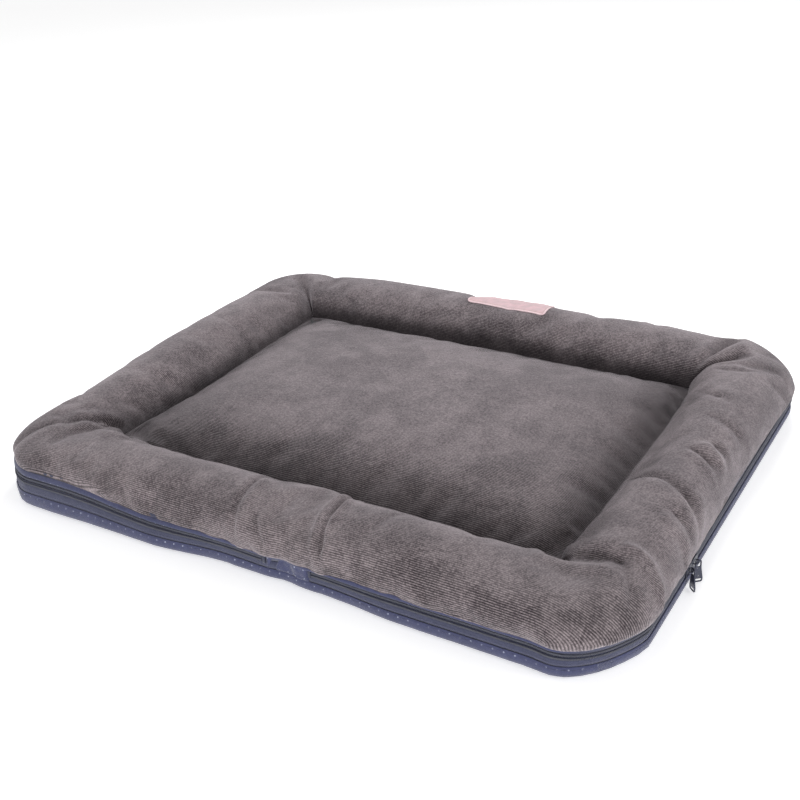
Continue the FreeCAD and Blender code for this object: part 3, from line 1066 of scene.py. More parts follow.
class BedZipTapes(bpy.types.Operator):
    """Run the two woven tapes and the welt over the chain all round"""

    bl_idname = "bed.zip_tapes"
    bl_label = "Zip tapes"

    def execute(self, context):
        low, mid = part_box("lower_tape")[1].z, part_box("upper_tape")[0].z
        hidden = 4.0 * MM
        tape = tape_finish(context)

        def lower(x):
            behind = tape_inset + 1.4 * MM
            return [(behind, wall_height - 1 * MM),
                    (tape_inset + 0.3 * MM, wall_height + 1.2 * MM),
                    (tape_inset, wall_height + 2.5 * MM), (tape_inset, low)]

        def upper(x):
            return [(tape_inset, mid), (tape_inset, seam_height - 1 * MM),
                    (tape_inset + 0.4 * MM, seam_height + hidden)]

        def welt(x):
            free = looseness(x)
            foot = upper_coil_high.z + (0.4 + 2.0 * (1 - free)) * MM
            out = (0.35 + 1.5 * free) * MM
            face = tape_inset - out
            return [(tape_inset - 0.1 * MM, foot + 0.3 * MM), (face + 0.5 * MM, foot),
                    (face, foot + 0.5 * MM), (face + 0.05 * MM, foot + 1.4 * MM),
                    (face + 0.4 * MM, seam_height + 0.2 * MM),
                    (tape_inset, seam_height + 0.8 * MM)]

        for name, profile, solid, thickness in (
                ("lower_tape_cloth", lower, "lower_tape", 0.5),
                ("upper_tape_cloth", upper, "upper_tape", 0.5),
                ("zip_welt", welt, None, 0.25)):
            piece = band(name, whole_way(), profile, tape if solid else base_finish(context),
                         context)
            thickened(piece, thickness * MM)
            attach(piece, "bed")
            if solid:
                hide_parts(solid)
        return {"FINISHED"}


# Half a coil turn's width, as a share of the pitch, and how far the turn slants, in radians.
TURN_SHARE, TURN_SLANT = 0.46, 0.16


class BedZipCoils(bpy.types.Operator):
    """Wind the turns of both rows of the coil"""

    bl_idname = "bed.zip_coils"
    bl_label = "Zip coils"

    def execute(self, context):
        pitch = active(context, "zip").turn_pitch
        count = int((chain_to - chain_from) / pitch)
        rows = (("lower_coil", lower_coil_low, lower_coil_high, -1),
                ("upper_coil", upper_coil_low, upper_coil_high, 1))
        for solid, low, high, side in rows:
            height = (low.z + high.z) / 2
            depth = half_length - tape_inset
            bulge = high.x - depth
            turn = oval(6, 4, (TURN_SHARE * pitch, bulge / 2, (high.z - low.z) / 2))
            bmesh.ops.rotate(turn, verts=turn.verts,
                             matrix=Matrix.Rotation(side * TURN_SLANT, 3, "Y"))
            matrices = []
            for number in range(count):
                distance = chain_from + (number + 0.25 * (side + 1)) * pitch
                matrices.append(edge_frame(distance, tape_inset - bulge / 2, height, context))
            piece = copies(solid + "_turns", turn, matrices, coil_finish(context))
            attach(piece, "bed")
            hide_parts(solid)
        return {"FINISHED"}


# The end tab's swell, its pucker and the crease beside that, in millimetres, and its lumps in a
# metre. Then how far the tab stands proud, and where the pucker and the crease are.
TAB_SWELL, GROOVE_DEPTH, CREASE_DEPTH, TAB_LUMPS = 1.7, 4.5, 1.2, 160
TAB_PROUD, PUCKER_IN, CREASE_APART = 0.35 * MM, 10 * MM, 13 * MM
GROOVE_WIDTH, GROOVE_LEAN = 3.2 * MM, 0.35
STOP_WIDTH, STOP_ROUND = 3 * MM, 0.35 * MM


class BedZipEnds(bpy.types.Operator):
    """Sew the puckered tab over the zip's two ends and crimp the stops"""

    bl_idname = "bed.zip_ends"
    bl_label = "Zip ends"

    def execute(self, context):
        self.sew_tab(context)
        self.crimp_stops(context)
        return {"FINISHED"}

    def sew_tab(self, context):
        """The folded tab, with its pucker left of the middle and a crease beside it."""
        columns, rows = 60, 22
        length, height = tab_high.x - tab_low.x, tab_high.z - tab_low.z
        bm = bmesh.new()
        bmesh.ops.create_grid(bm, x_segments=columns, y_segments=rows, size=1)
        places = {}
        pucker = tab_low.x + PUCKER_IN
        for vert in bm.verts:
            x = tab_low.x + length * (vert.co.x + 1) / 2
            z = tab_low.z + height * (vert.co.y + 1) / 2
            rim = min(1.0, (1 - abs(vert.co.y)) * 4) * min(1.0, (1 - abs(vert.co.x)) * 8)
            uneven = 0.75 + 0.5 * noise.noise(Vector((x, z, 0)) * TAB_LUMPS)
            swell = TAB_SWELL * MM * rim * uneven
            lean = (z - seam_height) * GROOVE_LEAN
            groove = math.exp(-((x - pucker - lean) / GROOVE_WIDTH) ** 2)
            crease = math.exp(-((x - pucker - CREASE_APART + lean) / GROOVE_WIDTH) ** 2)
            inset = tape_inset - TAB_PROUD - swell
            inset += groove * GROOVE_DEPTH * MM + crease * CREASE_DEPTH * MM
            places[vert] = (x, z)
            vert.co = edge_point(x, inset, z, context)
        write_map(bm, places)
        piece = thickened(new_piece("zip_end_cloth", bm, base_finish(context)), 0.3 * MM)
        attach(piece, "bed")
        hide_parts("zip_end_tab")

    def crimp_stops(self, context):
        """The two metal stops, each a bent strip round both rows."""
        bm = bmesh.new()
        for x in (stops_low.x, stops_high.x - STOP_WIDTH):
            verts = bmesh.ops.create_cube(bm, size=1)["verts"]
            deep = half_width - tape_inset
            size = (STOP_WIDTH, -stops_low.y - deep, stops_high.z - stops_low.z)
            bmesh.ops.scale(bm, vec=size, verts=verts)
            middle = edge_point(x + STOP_WIDTH / 2, tape_inset - size[1] / 2,
                                (stops_low.z + stops_high.z) / 2, context)
            bmesh.ops.translate(bm, vec=middle, verts=verts)
        bmesh.ops.bevel(bm, geom=bm.edges[:], offset=STOP_ROUND, offset_type="OFFSET", segments=3,
                        profile=0.5, affect="EDGES", material=-1)
        piece = new_piece("zip_stop_crimps", bm, metal_finish(context))
        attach(piece, "bed")
        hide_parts("zip_stops")


class BedSliders(bpy.types.Operator):
    """Soften the edges of the sliders and pulls and lacquer them"""

    bl_idname = "bed.sliders"
    bl_label = "Sliders and pulls"

    def execute(self, context):
        for solid in ("front_slider", "rear_slider", "front_pull", "rear_pull"):
            bm = bmesh.new()
            bm.from_mesh(frame["nodes"][solid].data)
            bmesh.ops.remove_doubles(bm, verts=bm.verts, dist=0.002 * MM)
            bmesh.ops.dissolve_limit(bm, angle_limit=math.radians(1), verts=bm.verts,
                                     edges=bm.edges)
            sharp = [edge for edge in bm.edges
                     if edge.is_manifold and edge.calc_face_angle(0) > math.radians(40)]
            bmesh.ops.bevel(bm, geom=sharp, offset=0.12 * MM, offset_type="OFFSET", segments=2,
                            profile=0.5, affect="EDGES", clamp_overlap=True, material=-1)
            piece = new_piece(solid + "_lacquered", bm, metal_finish(context))
            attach(piece, frame["nodes"][solid]["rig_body"])
            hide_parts(solid)
        return {"FINISHED"}


# Inset and height of the rows beside the zip, on the lower tape and on the base cloth.
STITCH_ROWS = ((tape_inset - 0.12 * MM, wall_height + 3.2 * MM),
               (-0.02 * MM, wall_height - 2.0 * MM))

# The end tab's rows: their places along X, how many stitches each has, how far apart they are
# and how high the first is, in millimetres.
TAB_ROWS = (tab_low.x + 1.5 * MM, tab_high.x - 1.5 * MM, tab_high.x - 4.0 * MM)
TAB_STITCHES, TAB_STITCH_APART, TAB_STITCH_FIRST = 5, 2.9, 2


class BedStitches(bpy.types.Operator):
    """Sew the rows of stitches beside the zip and round its end tab"""

    bl_idname = "bed.stitches"
    bl_label = "Stitches"

    def execute(self, context):
        pitch = active(context, "zip").stitch_pitch
        matrices = []
        for inset, height in STITCH_ROWS:
            for number in range(int(perimeter / pitch)):
                distance = tab_high.x + number * pitch
                if distance < perimeter + tab_low.x or height < wall_height:
                    matrices.append(edge_frame(distance, inset, height, context))
        for x in TAB_ROWS:
            for number in range(TAB_STITCHES):
                rise = (TAB_STITCH_FIRST + TAB_STITCH_APART * number) * MM
                place = edge_frame(x, tape_inset - 1.3 * MM, tab_low.z + rise, context)
                matrices.append(place @ Matrix.Rotation(math.pi / 2, 4, "Y"))
        stitch = oval(5, 4, (0.42 * pitch, 0.22 * MM, 0.24 * MM), lying=True)
        piece = copies("zip_stitches", stitch, matrices, thread_finish(context))
        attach(piece, "bed")
        return {"FINISHED"}


# ---- the label ----


def rounded(x, y, half_x, half_y, radius):
    """Pulls a point of a rectangle in to the arc at its corner."""
    over_x, over_y = abs(x) - (half_x - radius), abs(y) - (half_y - radius)
    if over_x > 0 and over_y > 0:
        reach = math.hypot(over_x, over_y)
        scale = max(over_x, over_y) / reach
        x = math.copysign(half_x - radius + over_x * scale, x)
        y = math.copysign(half_y - radius + over_y * scale, y)
    return x, y


LABEL_CORNER, LABEL_THICKNESS, LABEL_LIFT = 6 * MM, 1.1 * MM, 1.0 * MM
LABEL_WAVES, LABEL_WAVE = 70, 0.5

# The stitches' line inside the label's edge, the roll of the edge and the line's own groove.
STITCHED_IN, LABEL_STITCH, STITCHED_CORNER = 3.2 * MM, 2.6 * MM, 3 * MM
ROLL_HEIGHT, ROLLED_IN, ROLL_WIDTH = 0.35 * MM, 1.2 * MM, 0.9 * MM
SUNK_DEPTH, SUNK_WIDTH = 0.30 * MM, 0.5 * MM


class BedLabel(bpy.types.Operator):
    """Sew the blank leather label over the crest of the back bolster"""

    bl_idname = "bed.name_label"
    bl_label = "Leather label"

    def execute(self, context):
        top = bpy.data.objects["corduroy_top"]
        surface = surface_above(top.data)
        middle = (label_low + label_high) / 2
        half_x, half_y = (label_high.x - label_low.x) / 2, (label_high.y - label_low.y) / 2
        columns, rows = 104, 40
        bm = bmesh.new()
        bmesh.ops.create_grid(bm, x_segments=columns, y_segments=rows, size=1)
        places = {}
        for vert in bm.verts:
            x, y = rounded(vert.co.x * half_x, vert.co.y * half_y, half_x, half_y, LABEL_CORNER)
            rim = min(half_x - abs(x), half_y - abs(y))
            hit, normal = surface(middle.x + x, middle.y + y)
            roll = ROLL_HEIGHT * math.exp(-((rim - ROLLED_IN) / ROLL_WIDTH) ** 2)
            sunk = SUNK_DEPTH * math.exp(-((rim - STITCHED_IN) / SUNK_WIDTH) ** 2)
            wave = noise.noise(Vector((x, y, 0)) * LABEL_WAVES) * LABEL_WAVE * MM
            places[vert] = (x, y)
            vert.co = hit + normal * (LABEL_LIFT + roll - sunk + wave)
        write_map(bm, places)
        for _ in range(3):
            bmesh.ops.smooth_vert(bm, verts=bm.verts, factor=0.4, use_axis_z=True)
        piece = thickened(new_piece("leather_label", bm, leather_finish(context)),
                          LABEL_THICKNESS)
        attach(piece, "bed")
        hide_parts("name_label")
        self.stitch(context, piece, middle, half_x, half_y)
        return {"FINISHED"}

    def stitch(self, context, label, middle, half_x, half_y):
        """A row of stitches just inside the label's edge."""
        surface = surface_above(label.data)
        run_x, run_y = half_x - STITCHED_IN, half_y - STITCHED_IN
        matrices = []
        for number in range(int(4 * (run_x + run_y) / LABEL_STITCH)):
            left = number * LABEL_STITCH
            for length, start, way in (
                    (2 * run_x, (-run_x, -run_y), (1, 0)), (2 * run_y, (run_x, -run_y), (0, 1)),
                    (2 * run_x, (run_x, run_y), (-1, 0)), (2 * run_y, (-run_x, run_y), (0, -1))):
                if left <= length:
                    x, y = start[0] + way[0] * left, start[1] + way[1] * left
                    break
                left -= length
            x, y = rounded(x, y, run_x, run_y, STITCHED_CORNER)
            hit, normal = surface(middle.x + x, middle.y + y)
            along = Vector((way[0], way[1], 0))
            along = (along - normal * along.dot(normal)).normalized()
            turn = Matrix((along, normal.cross(along), normal)).transposed().to_4x4()
            turn.translation = hit + normal * 0.05 * MM
            matrices.append(turn)
        stitch = oval(8, 6, (0.40 * LABEL_STITCH, 0.28 * MM, 0.2 * MM), lying=True)
        piece = copies("label_stitches", stitch, matrices, label_thread(context))
        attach(piece, "bed")


# ---- finishes ----


def node(tree, kind, sets=None, **inputs):
    """Adds a node. Its inputs are named with _ for a space, and take a value or a socket."""
    made = tree.nodes.new("ShaderNode" + kind)
    for key, value in (sets or {}).items():
        setattr(made, key, value)
    for key, value in inputs.items():
        name = key.replace("_", " ")
        socket = made.inputs[name] if name in made.inputs else made.inputs[int(key[1:])]
        if isinstance(value, bpy.types.NodeSocket):
            tree.links.new(value, socket)
        else:
            socket.default_value = value
    return made


def math_node(tree, operation, *values):
    """A Math node's result."""
    inputs = {"i%d" % k: value for k, value in enumerate(values)}
    return node(tree, "Math", {"operation": operation}, **inputs).outputs[0]


def mixed(tree, share, low, high):
    """A colour between two."""
    colours = [value if isinstance(value, bpy.types.NodeSocket) else (*value, 1)
               for value in (low, high)]
    return node(tree, "Mix", {"data_type": "RGBA"}, i0=share, i6=colours[0],
                i7=colours[1]).outputs[2]


def stretched(tree, value, low, high, to_low=0.0, to_high=1.0):
    """A value mapped from one range to another, and kept in it."""
    return node(tree, "MapRange", {"interpolation_type": "SMOOTHSTEP"}, Value=value,
                From_Min=low, From_Max=high, To_Min=to_low, To_Max=to_high).outputs[0]


def group(name, inputs, outputs, build):
    """A node group, built once. Inputs are (name, kind, default) and outputs (name, kind)."""
    if name in bpy.data.node_groups:
        return bpy.data.node_groups[name]
    tree = bpy.data.node_groups.new(name, "ShaderNodeTree")
    for label, kind, default in inputs:
        socket = tree.interface.new_socket(label, in_out="INPUT", socket_type="NodeSocket" + kind)
        if default is not None:
            socket.default_value = default
    for label, kind in outputs:
        tree.interface.new_socket(label, in_out="OUTPUT", socket_type="NodeSocket" + kind)
    start = tree.nodes.new("NodeGroupInput")
    end = tree.nodes.new("NodeGroupOutput")
    build(tree, start.outputs, end.inputs)
    return tree


def use(tree, made, **inputs):
    """Places a node group in a material."""
    return node(tree, "Group", {"node_tree": made}, **inputs).outputs


def brushed_group():
    """Pile brushed this way and that: a mask of smudges, broad and small."""
    def build(tree, given, result):
        def cloud(scale, detail, rough):
            size = math_node(tree, "DIVIDE", scale, given["Size"])
            return node(tree, "TexNoise", None, Vector=given["Vector"], Scale=size, Detail=detail,
                        Roughness=rough).outputs[0]
        broad = stretched(tree, cloud(1.0, 3.0, 0.55), 0.36, 0.64)
        middle = stretched(tree, cloud(3.6, 4.0, 0.6), 0.34, 0.66)
        small = stretched(tree, cloud(16.0, 3.0, 0.6), 0.30, 0.70)
        total = math_node(tree, "MULTIPLY_ADD", broad, 0.40,
                          math_node(tree, "MULTIPLY_ADD", middle, 0.36,
                                    math_node(tree, "MULTIPLY", small, 0.24)))
        tree.links.new(total, result["Mask"])
        tree.links.new(small, result["Fuzz"])
    return group("brushed pile", [("Vector", "Vector", None), ("Size", "Float", 0.08)],
                 [("Mask", "Float"), ("Fuzz", "Float")], build)


RIB_SHARPNESS = 1.6


def rib_group():
    """Rounded ribs with narrow grooves, which run along the cloth's first direction."""
    def build(tree, given, result):
        wander = node(tree, "TexNoise", None, Vector=given["Vector"], Scale=60.0,
                      Detail=2.0).outputs[0]
        across = node(tree, "SeparateXYZ", None, Vector=given["Vector"]).outputs[1]
        shifted = math_node(tree, "MULTIPLY_ADD", wander, given["Wander"], across)
        turns = math_node(tree, "MULTIPLY", math_node(tree, "DIVIDE", shifted, given["Pitch"]),
                          math.pi)
        wave = math_node(tree, "ABSOLUTE", math_node(tree, "SINE", turns))
        tree.links.new(math_node(tree, "POWER", wave, RIB_SHARPNESS), result["Height"])
    return group("ribs", [("Vector", "Vector", None), ("Pitch", "Float", 0.0018),
                          ("Wander", "Float", 0.0005)], [("Height", "Float")], build)


def weave_group():
    """A plain weave: threads over and under each other both ways."""
    def build(tree, given, result):
        parts = node(tree, "SeparateXYZ", None, Vector=given["Vector"])
        def wave(axis):
            turns = math_node(tree, "DIVIDE", parts.outputs[axis], given["Pitch"])
            return math_node(tree, "SINE", math_node(tree, "MULTIPLY", turns, 2 * math.pi))
        crossed = math_node(tree, "MULTIPLY", wave(0), wave(1))
        height = math_node(tree, "MULTIPLY_ADD", crossed, 0.5, 0.5)
        slub = node(tree, "TexNoise", None, Vector=given["Vector"], Scale=420.0,
                    Detail=3.0).outputs[0]
        tree.links.new(height, result["Height"])
        tree.links.new(stretched(tree, slub, 0.3, 0.7), result["Slub"])
    return group("weave", [("Vector", "Vector", None), ("Pitch", "Float", 0.0008)],
                 [("Height", "Float"), ("Slub", "Float")], build)


def grain_group():
    """Leather grain: small cells with soft creases between them."""
    def build(tree, given, result):
        size = math_node(tree, "DIVIDE", 1.0, given["Size"])
        cells = node(tree, "TexVoronoi", {"feature": "SMOOTH_F1"}, Vector=given["Vector"],
                     Scale=size, Smoothness=0.6).outputs["Distance"]
        blur = node(tree, "TexNoise", None, Vector=given["Vector"], Scale=90.0, Detail=4.0)
        tree.links.new(stretched(tree, cells, 0.1, 0.8), result["Height"])
        tree.links.new(stretched(tree, blur.outputs[0], 0.3, 0.7), result["Mask"])
    return group("grain", [("Vector", "Vector", None), ("Size", "Float", 0.0008)],
                 [("Height", "Float"), ("Mask", "Float")], build)


def dot_group():
    """A square grid of small round dots, from 0 to 1."""
    def build(tree, given, result):
        parts = node(tree, "SeparateXYZ", None, Vector=given["Vector"])
        def off(axis):
            share = math_node(tree, "DIVIDE", parts.outputs[axis], given["Pitch"])
            whole = math_node(tree, "FRACT", share)
            return math_node(tree, "SUBTRACT", whole, 0.5)
        x, y = off(0), off(1)
        gap = math_node(tree, "SQRT", math_node(tree, "MULTIPLY_ADD", x, x,
                                                math_node(tree, "MULTIPLY", y, y)))
        size = math_node(tree, "DIVIDE", given["Radius"], given["Pitch"])
        inside = math_node(tree, "DIVIDE", gap, size)
        tree.links.new(stretched(tree, inside, 0.75, 1.15, 1.0, 0.0), result["Mask"])
    return group("dots", [("Vector", "Vector", None), ("Pitch", "Float", 0.0099),
                          ("Radius", "Float", 0.0008)], [("Mask", "Float")], build)


def finish(name, build, **constants):
    """A material, built once. Constants go straight to the shader's own sockets."""
    if name in bpy.data.materials:
        return bpy.data.materials[name]
    material = bpy.data.materials.new(name)
    material.use_nodes = True
    tree = material.node_tree
    tree.nodes.clear()
    shader = tree.nodes.new("ShaderNodeBsdfPrincipled")
    end = tree.nodes.new("ShaderNodeOutputMaterial")
    tree.links.new(shader.outputs[0], end.inputs["Surface"])
    for key, value in constants.items():
        shader.inputs[key.replace("_", " ")].default_value = value
    build(tree, shader)
    return material


def bump(tree, shader, height, distance, strength=1.0):
    """Feeds a height, in metres once scaled by distance, to a shader's normal."""
    made = node(tree, "Bump", None, Height=height, Distance=distance, Strength=strength)
    tree.links.new(made.outputs[0], shader.inputs["Normal"])


def cloth_map(tree):
    """The piece's own map, in metres of cloth."""
    return node(tree, "UVMap", {"uv_map": "cloth"}).outputs[0]


def object_place(tree):
    """The point in the bed's own frame."""
    return node(tree, "TexCoord").outputs["Object"]


def corduroy(context):
    """Fine corduroy with a short brushed pile."""
    colours = active(context, "colours")
    pitch = active(context, "top").rib_pitch

    def build(tree, shader):
        place = object_place(tree)
        ribs = use(tree, rib_group(), Vector=cloth_map(tree), Pitch=pitch)["Height"]
        pile = use(tree, brushed_group(), Vector=place, Size=0.075)
        fuzz = node(tree, "TexNoise", None, Vector=place, Scale=520.0, Detail=3.0,
                    Roughness=0.75).outputs[0]
        parts = node(tree, "SeparateXYZ", None, Vector=place).outputs
        crest = stretched(tree, parts[2], crest_height - 12 * MM, crest_height - 1 * MM, 1.0, 0.6)
        clear = stretched(tree, pile["Mask"], 0.20, 0.80, 1.0, 0.7)
        shown = math_node(tree, "MULTIPLY", crest, clear)
        groove = math_node(tree, "MULTIPLY", math_node(tree, "SUBTRACT", 1.0, ribs), shown)
        lit = math_node(tree, "MULTIPLY_ADD", stretched(tree, pile["Mask"], 0.10, 0.90), 0.38,
                        math_node(tree, "MULTIPLY", stretched(tree, fuzz, 0.39, 0.61), 0.62))
        colour = mixed(tree, lit, colours.corduroy_dark, colours.corduroy_light)
        # Painted shade in the grooves beside the inner seams: the colour is mixed up to two thirds
        # of the way towards a dark shade colour, over about 52 mm into the centre and about a
        # quarter of that up the bolsters.
        beyond = [math_node(tree, "SUBTRACT", math_node(tree, "ABSOLUTE", parts[axis]), inner)
                  for axis, inner in ((0, inner_x), (1, inner_y))]
        outward = math_node(tree, "MAXIMUM", *beyond)
        from_seam = math_node(tree, "MAXIMUM", math_node(tree, "MULTIPLY", outward, 3.6),
                              math_node(tree, "MULTIPLY", outward, -1.0))
        painted_seam_shade = stretched(tree, from_seam, 0.0, 52 * MM, 0.66, 0.0)
        colour = mixed(tree, painted_seam_shade, colour, [0.30 * part for part in colours.corduroy_dark])
        # Painted shade: the grooves between the ribs are darkened towards a tenth of the dark
        # colour, less near the crest and where the pile mask hides the ribs.
        deep = mixed(tree, groove, colour, [0.10 * part for part in colours.corduroy_dark])
        tree.links.new(deep, shader.inputs[0])
        relief = math_node(tree, "MULTIPLY_ADD", ribs, shown,
                           math_node(tree, "MULTIPLY_ADD", fuzz, 0.5,
                                     math_node(tree, "MULTIPLY", pile["Fuzz"], 0.5)))
        bump(tree, shader, relief, 0.45 * MM, 0.9)

    return finish("brushed corduroy", build, Roughness=0.95, Sheen_Weight=0.55,
                  Sheen_Roughness=0.45, Sheen_Tint=(0.80, 0.74, 0.78, 1),
                  Specular_IOR_Level=0.12)


def woven(name, colour, pitch, light, constants, dots=None):
    """A woven cloth, plain or with dots."""
    def build(tree, shader):
        flat = cloth_map(tree)
        weave = use(tree, weave_group(), Vector=flat, Pitch=pitch)
        pile = use(tree, brushed_group(), Vector=object_place(tree), Size=0.03)
        worn = math_node(tree, "MULTIPLY_ADD", weave["Slub"], 0.5,
                         math_node(tree, "MULTIPLY", pile["Mask"], 0.5))
        darker = [0.55 * part for part in colour]
        lighter = [part + light * (1 - part) for part in colour]
        tone = mixed(tree, worn, darker, lighter)
        # Painted highlight and shade: the raised threads of the weave are made lighter than the
        # gaps between them.
        tone = mixed(tree, math_node(tree, "MULTIPLY", weave["Height"], 0.5), tone, lighter)
        height = weave["Height"]
        if dots:
            spots = use(tree, dot_group(), Vector=flat)["Mask"]
            faded = stretched(tree, pile["Fuzz"], 0.25, 0.75, 0.15, 1.0)
            tone = mixed(tree, math_node(tree, "MULTIPLY", spots, faded), tone, dots)
            height = math_node(tree, "ADD", height, spots)
        tree.links.new(tone, shader.inputs[0])
        bump(tree, shader, height, 0.25 * MM, 0.8)
    return finish(name, build, **constants)


def base_finish(context):
    """Navy cloth with pale rubber dots."""
    colours = active(context, "colours")
    return woven("navy dotted cloth", colours.navy, 0.0009, 0.02,
                 {"Roughness": 0.75, "Sheen_Weight": 0.25, "Specular_IOR_Level": 0.3},
                 dots=colours.dot)


def tape_finish(context):
    """The zip's ribbed tape."""
    return woven("zip tape", active(context, "colours").tape, 0.0007, 0.02,
                 {"Roughness": 0.7, "Sheen_Weight": 0.2, "Specular_IOR_Level": 0.3})


def lining_finish():
    """Thin dark lining."""
    return woven("lining cloth", (0.03, 0.03, 0.036), 0.0006, 0.04,
                 {"Roughness": 0.8, "Sheen_Weight": 0.1})


def liner_finish():
    """The pad's pale nonwoven bag."""
    def build(tree, shader):
        cells = use(tree, grain_group(), Vector=object_place(tree), Size=0.0022)
        tree.links.new(mixed(tree, cells["Mask"], (0.62, 0.62, 0.60), (0.82, 0.82, 0.80)),
                       shader.inputs[0])
        bump(tree, shader, cells["Height"], 0.2 * MM)
    return finish("pad bag", build, Roughness=0.85, Sheen_Weight=0.15)


def coil_finish(context):
    """Nylon coil, worn a little paler where fingers and sliders rub."""
    colour = active(context, "colours").coil

    def build(tree, shader):
        worn = use(tree, brushed_group(), Vector=object_place(tree), Size=0.02)
        paler = [part + 0.025 for part in colour]
        tree.links.new(mixed(tree, worn["Mask"], colour, paler), shader.inputs[0])
        tree.links.new(stretched(tree, worn["Fuzz"], 0, 1, 0.38, 0.6), shader.inputs["Roughness"])
        bump(tree, shader, worn["Fuzz"], 0.04 * MM)
    return finish("nylon coil", build, Specular_IOR_Level=0.5)


def metal_finish(context):
    """Die-cast metal under a dark lacquer, rubbed bare in specks."""
    colour = active(context, "colours").metal

    def build(tree, shader):
        worn = use(tree, brushed_group(), Vector=object_place(tree), Size=0.004)
        bare = stretched(tree, worn["Mask"], 0.66, 0.86)
        tree.links.new(mixed(tree, bare, colour, (0.20, 0.20, 0.22)), shader.inputs[0])
        tree.links.new(stretched(tree, worn["Mask"], 0, 1, 0.26, 0.46), shader.inputs["Roughness"])
        bump(tree, shader, worn["Fuzz"], 0.03 * MM)
    return finish("lacquered metal", build, Metallic=0.75, Coat_Weight=0.3, Coat_Roughness=0.25)


def leather_finish(context):
    """Pinkish leather with a paler pressed edge."""
    colours = active(context, "colours")
    half_x, half_y = (label_high.x - label_low.x) / 2, (label_high.y - label_low.y) / 2

    def build(tree, shader):
        flat = cloth_map(tree)
        parts = node(tree, "SeparateXYZ", None, Vector=flat)
        def from_edge(axis, half):
            reach = math_node(tree, "ABSOLUTE", parts.outputs[axis])
            return math_node(tree, "SUBTRACT", half, reach)
        gap = math_node(tree, "MINIMUM", from_edge(0, half_x), from_edge(1, half_y))
        grain = use(tree, grain_group(), Vector=flat, Size=0.0009)
        edge = stretched(tree, gap, 0.8 * MM, 2.6 * MM, 1.0, 0.0)
        darker = [0.72 * part for part in colours.leather]
        tone = mixed(tree, grain["Mask"], darker, colours.leather)
        tone = mixed(tree, edge, tone, colours.leather_edge)
        sunk = math_node(tree, "SUBTRACT", 1.0, grain["Height"])
        creases = math_node(tree, "MULTIPLY", sunk, 0.3)
        tree.links.new(mixed(tree, creases, tone, darker), shader.inputs[0])
        tree.links.new(stretched(tree, grain["Mask"], 0, 1, 0.42, 0.6),
                       shader.inputs["Roughness"])
        bump(tree, shader, grain["Height"], 0.12 * MM)
    return finish("pink leather", build, Specular_IOR_Level=0.4, Sheen_Weight=0.1)


def twisted(name, colour):
    """Sewing thread, with its twist."""
    def build(tree, shader):
        worn = use(tree, brushed_group(), Vector=object_place(tree), Size=0.01)
        tree.links.new(mixed(tree, worn["Mask"], [0.6 * part for part in colour], colour),
                       shader.inputs[0])
        bump(tree, shader, worn["Fuzz"], 0.05 * MM)
    return finish(name, build, Roughness=0.6, Sheen_Weight=0.2)


def thread_finish(context):
    """Dark sewing thread beside the zip."""
    return twisted("dark thread", [1.3 * part for part in active(context, "colours").tape])


def label_thread(context):
    """The label's thread."""
    return twisted("label thread", list(active(context, "colours").thread))


# ---- stage ----


def area_light(lamp):
    """A soft rectangular lamp that points at a spot."""
    data = bpy.data.lights.new(lamp.name, "AREA")
    data.shape = "RECTANGLE"
    data.size, data.size_y = lamp.size
    data.energy = lamp.power
    made = bpy.data.objects.new(lamp.name, data)
    made.location = lamp.place
    ahead = Vector(lamp.aim) - Vector(lamp.place)
    made.rotation_euler = ahead.to_track_quat("-Z", "Y").to_euler()
    bpy.context.scene.collection.objects.link(made)


Lamp = namedtuple("Lamp", "name place aim size power")
LAMPS = (
    Lamp("back window", (-0.4, 1.55, 1.5), (0, 0, 0), (1.1, 0.9), 26),
    Lamp("right fill", (1.9, -0.1, 0.75), (0, 0, 0.03), (0.9, 0.6), 9),
    Lamp("left window", (-1.6, -0.3, 1.1), (0, 0, 0), (1.0, 1.0), 2),
    Lamp("front fill", (0.9, -2.3, 0.36), (0, -0.25, 0.03), (1.6, 0.3), 40),
)
SKY_LOW, SKY_HIGH, SKY_TURN = 1.15, 0.42, 0.85
FLOOR_GLOW, FLOOR_GAP = 0.40, 0.3 * MM
SENSOR, LENS = 36, 51.28

# The camera's place, and how far it looks aside from the back, downwards and tipped, in degrees.
EYE = (0.5860, -0.9075, 0.6152)
ASIDE, BELOW, TIPPED = 33.35, 27.67, 4.47


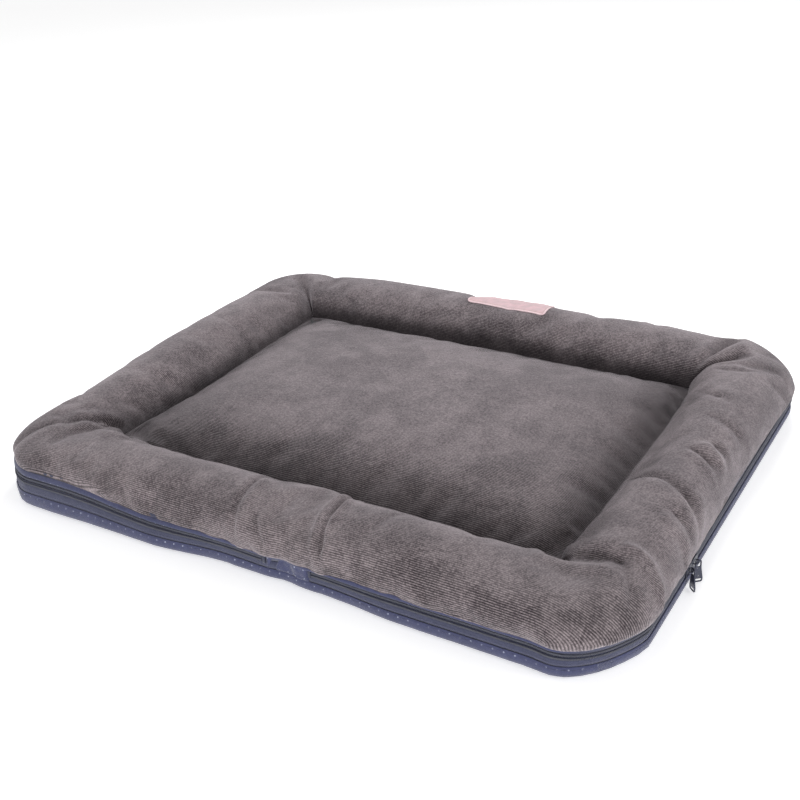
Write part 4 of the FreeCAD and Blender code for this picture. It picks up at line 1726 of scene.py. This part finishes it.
class BedStage(bpy.types.Operator):
    """Set the pale floor, the soft light and the camera"""

    bl_idname = "bed.stage"
    bl_label = "Stage"

    def execute(self, context):
        scene = context.scene
        bm = bmesh.new()
        bmesh.ops.create_grid(bm, x_segments=1, y_segments=1, size=8)
        bmesh.ops.translate(bm, vec=(0, 0, -FLOOR_GAP), verts=bm.verts)

        def build(tree, shader):
            cloud = node(tree, "TexNoise", None, Vector=object_place(tree), Scale=1.2)
            tone = mixed(tree, cloud.outputs[0], (0.90, 0.90, 0.905), (0.94, 0.94, 0.94))
            tree.links.new(tone, shader.inputs[0])
        paper = finish("studio floor", build, Roughness=0.8, Specular_IOR_Level=0.2,
                       Emission_Color=(1, 1, 1, 1), Emission_Strength=FLOOR_GLOW)
        new_piece("studio_floor", bm, paper, smooth_shading=False)

        world = bpy.data.worlds.new("studio")
        scene.world = world
        world.use_nodes = True
        tree = world.node_tree
        sky = tree.nodes["Background"]
        sky.inputs[0].default_value = (1.0, 1.0, 1.0, 1)
        rise = node(tree, "SeparateXYZ", None, Vector=node(tree, "TexCoord").outputs["Generated"])
        tree.links.new(stretched(tree, rise.outputs[2], 0.0, SKY_TURN, SKY_LOW, SKY_HIGH),
                       sky.inputs[1])
        for lamp in LAMPS:
            area_light(lamp)
        scene.view_settings.view_transform = "Standard"

        data = bpy.data.cameras.new("camera")
        data.sensor_width = SENSOR
        data.lens = LENS
        data.clip_start, data.clip_end = 0.01, 50
        camera = bpy.data.objects.new("camera", data)
        camera.location = EYE
        aside, below, roll = math.radians(ASIDE), math.radians(BELOW), math.radians(TIPPED)
        ahead = Vector((-math.sin(aside) * math.cos(below), math.cos(aside) * math.cos(below),
                        -math.sin(below)))
        level = ahead.to_track_quat("-Z", "Y")
        camera.rotation_mode = "QUATERNION"
        camera.rotation_quaternion = level @ Matrix.Rotation(-roll, 3, "Z").to_quaternion()
        scene.collection.objects.link(camera)
        scene.camera = camera
        return {"FINISHED"}


# ---- panel and registration ----

OPERATORS = (BedStage, BedCorduroyTop, BedLining, BedLoosePad, BedBaseCloth, BedZipTapes,
             BedZipCoils, BedZipEnds, BedSliders, BedStitches, BedLabel)
SETTINGS = {"top": BedTopSettings, "zip": BedZipSettings, "colours": BedColours}


class BedPanel(bpy.types.Panel):
    """Lists the bed's settings and pieces"""

    bl_idname = "VIEW3D_PT_bed"
    bl_label = "Pet cushion bed"
    bl_space_type = "VIEW_3D"
    bl_region_type = "UI"
    bl_category = "Bed"

    def draw(self, context):
        for name in SETTINGS:
            part = active(context, name)
            box = self.layout.box()
            for key in part.bl_rna.properties.keys():
                if key not in ("rna_type", "name"):
                    box.prop(part, key)
        for operator in OPERATORS:
            self.layout.operator(operator.bl_idname)


def register():
    """Registers the settings, the operators and the panel."""
    for name, kind in SETTINGS.items():
        bpy.utils.register_class(kind)
        setattr(bpy.types.Scene, "bed_" + name, PointerProperty(type=kind))
    for operator in OPERATORS:
        bpy.utils.register_class(operator)
    bpy.utils.register_class(BedPanel)


def unregister():
    """Takes them off again."""
    bpy.utils.unregister_class(BedPanel)
    for operator in reversed(OPERATORS):
        bpy.utils.unregister_class(operator)
    for name, kind in SETTINGS.items():
        delattr(bpy.types.Scene, "bed_" + name)
        bpy.utils.unregister_class(kind)


def main():
    """Makes every piece in order."""
    register()
    for operator in OPERATORS:
        area, name = operator.bl_idname.split(".")
        getattr(getattr(bpy.ops, area), name)()


if __name__ == "__main__":
    main()
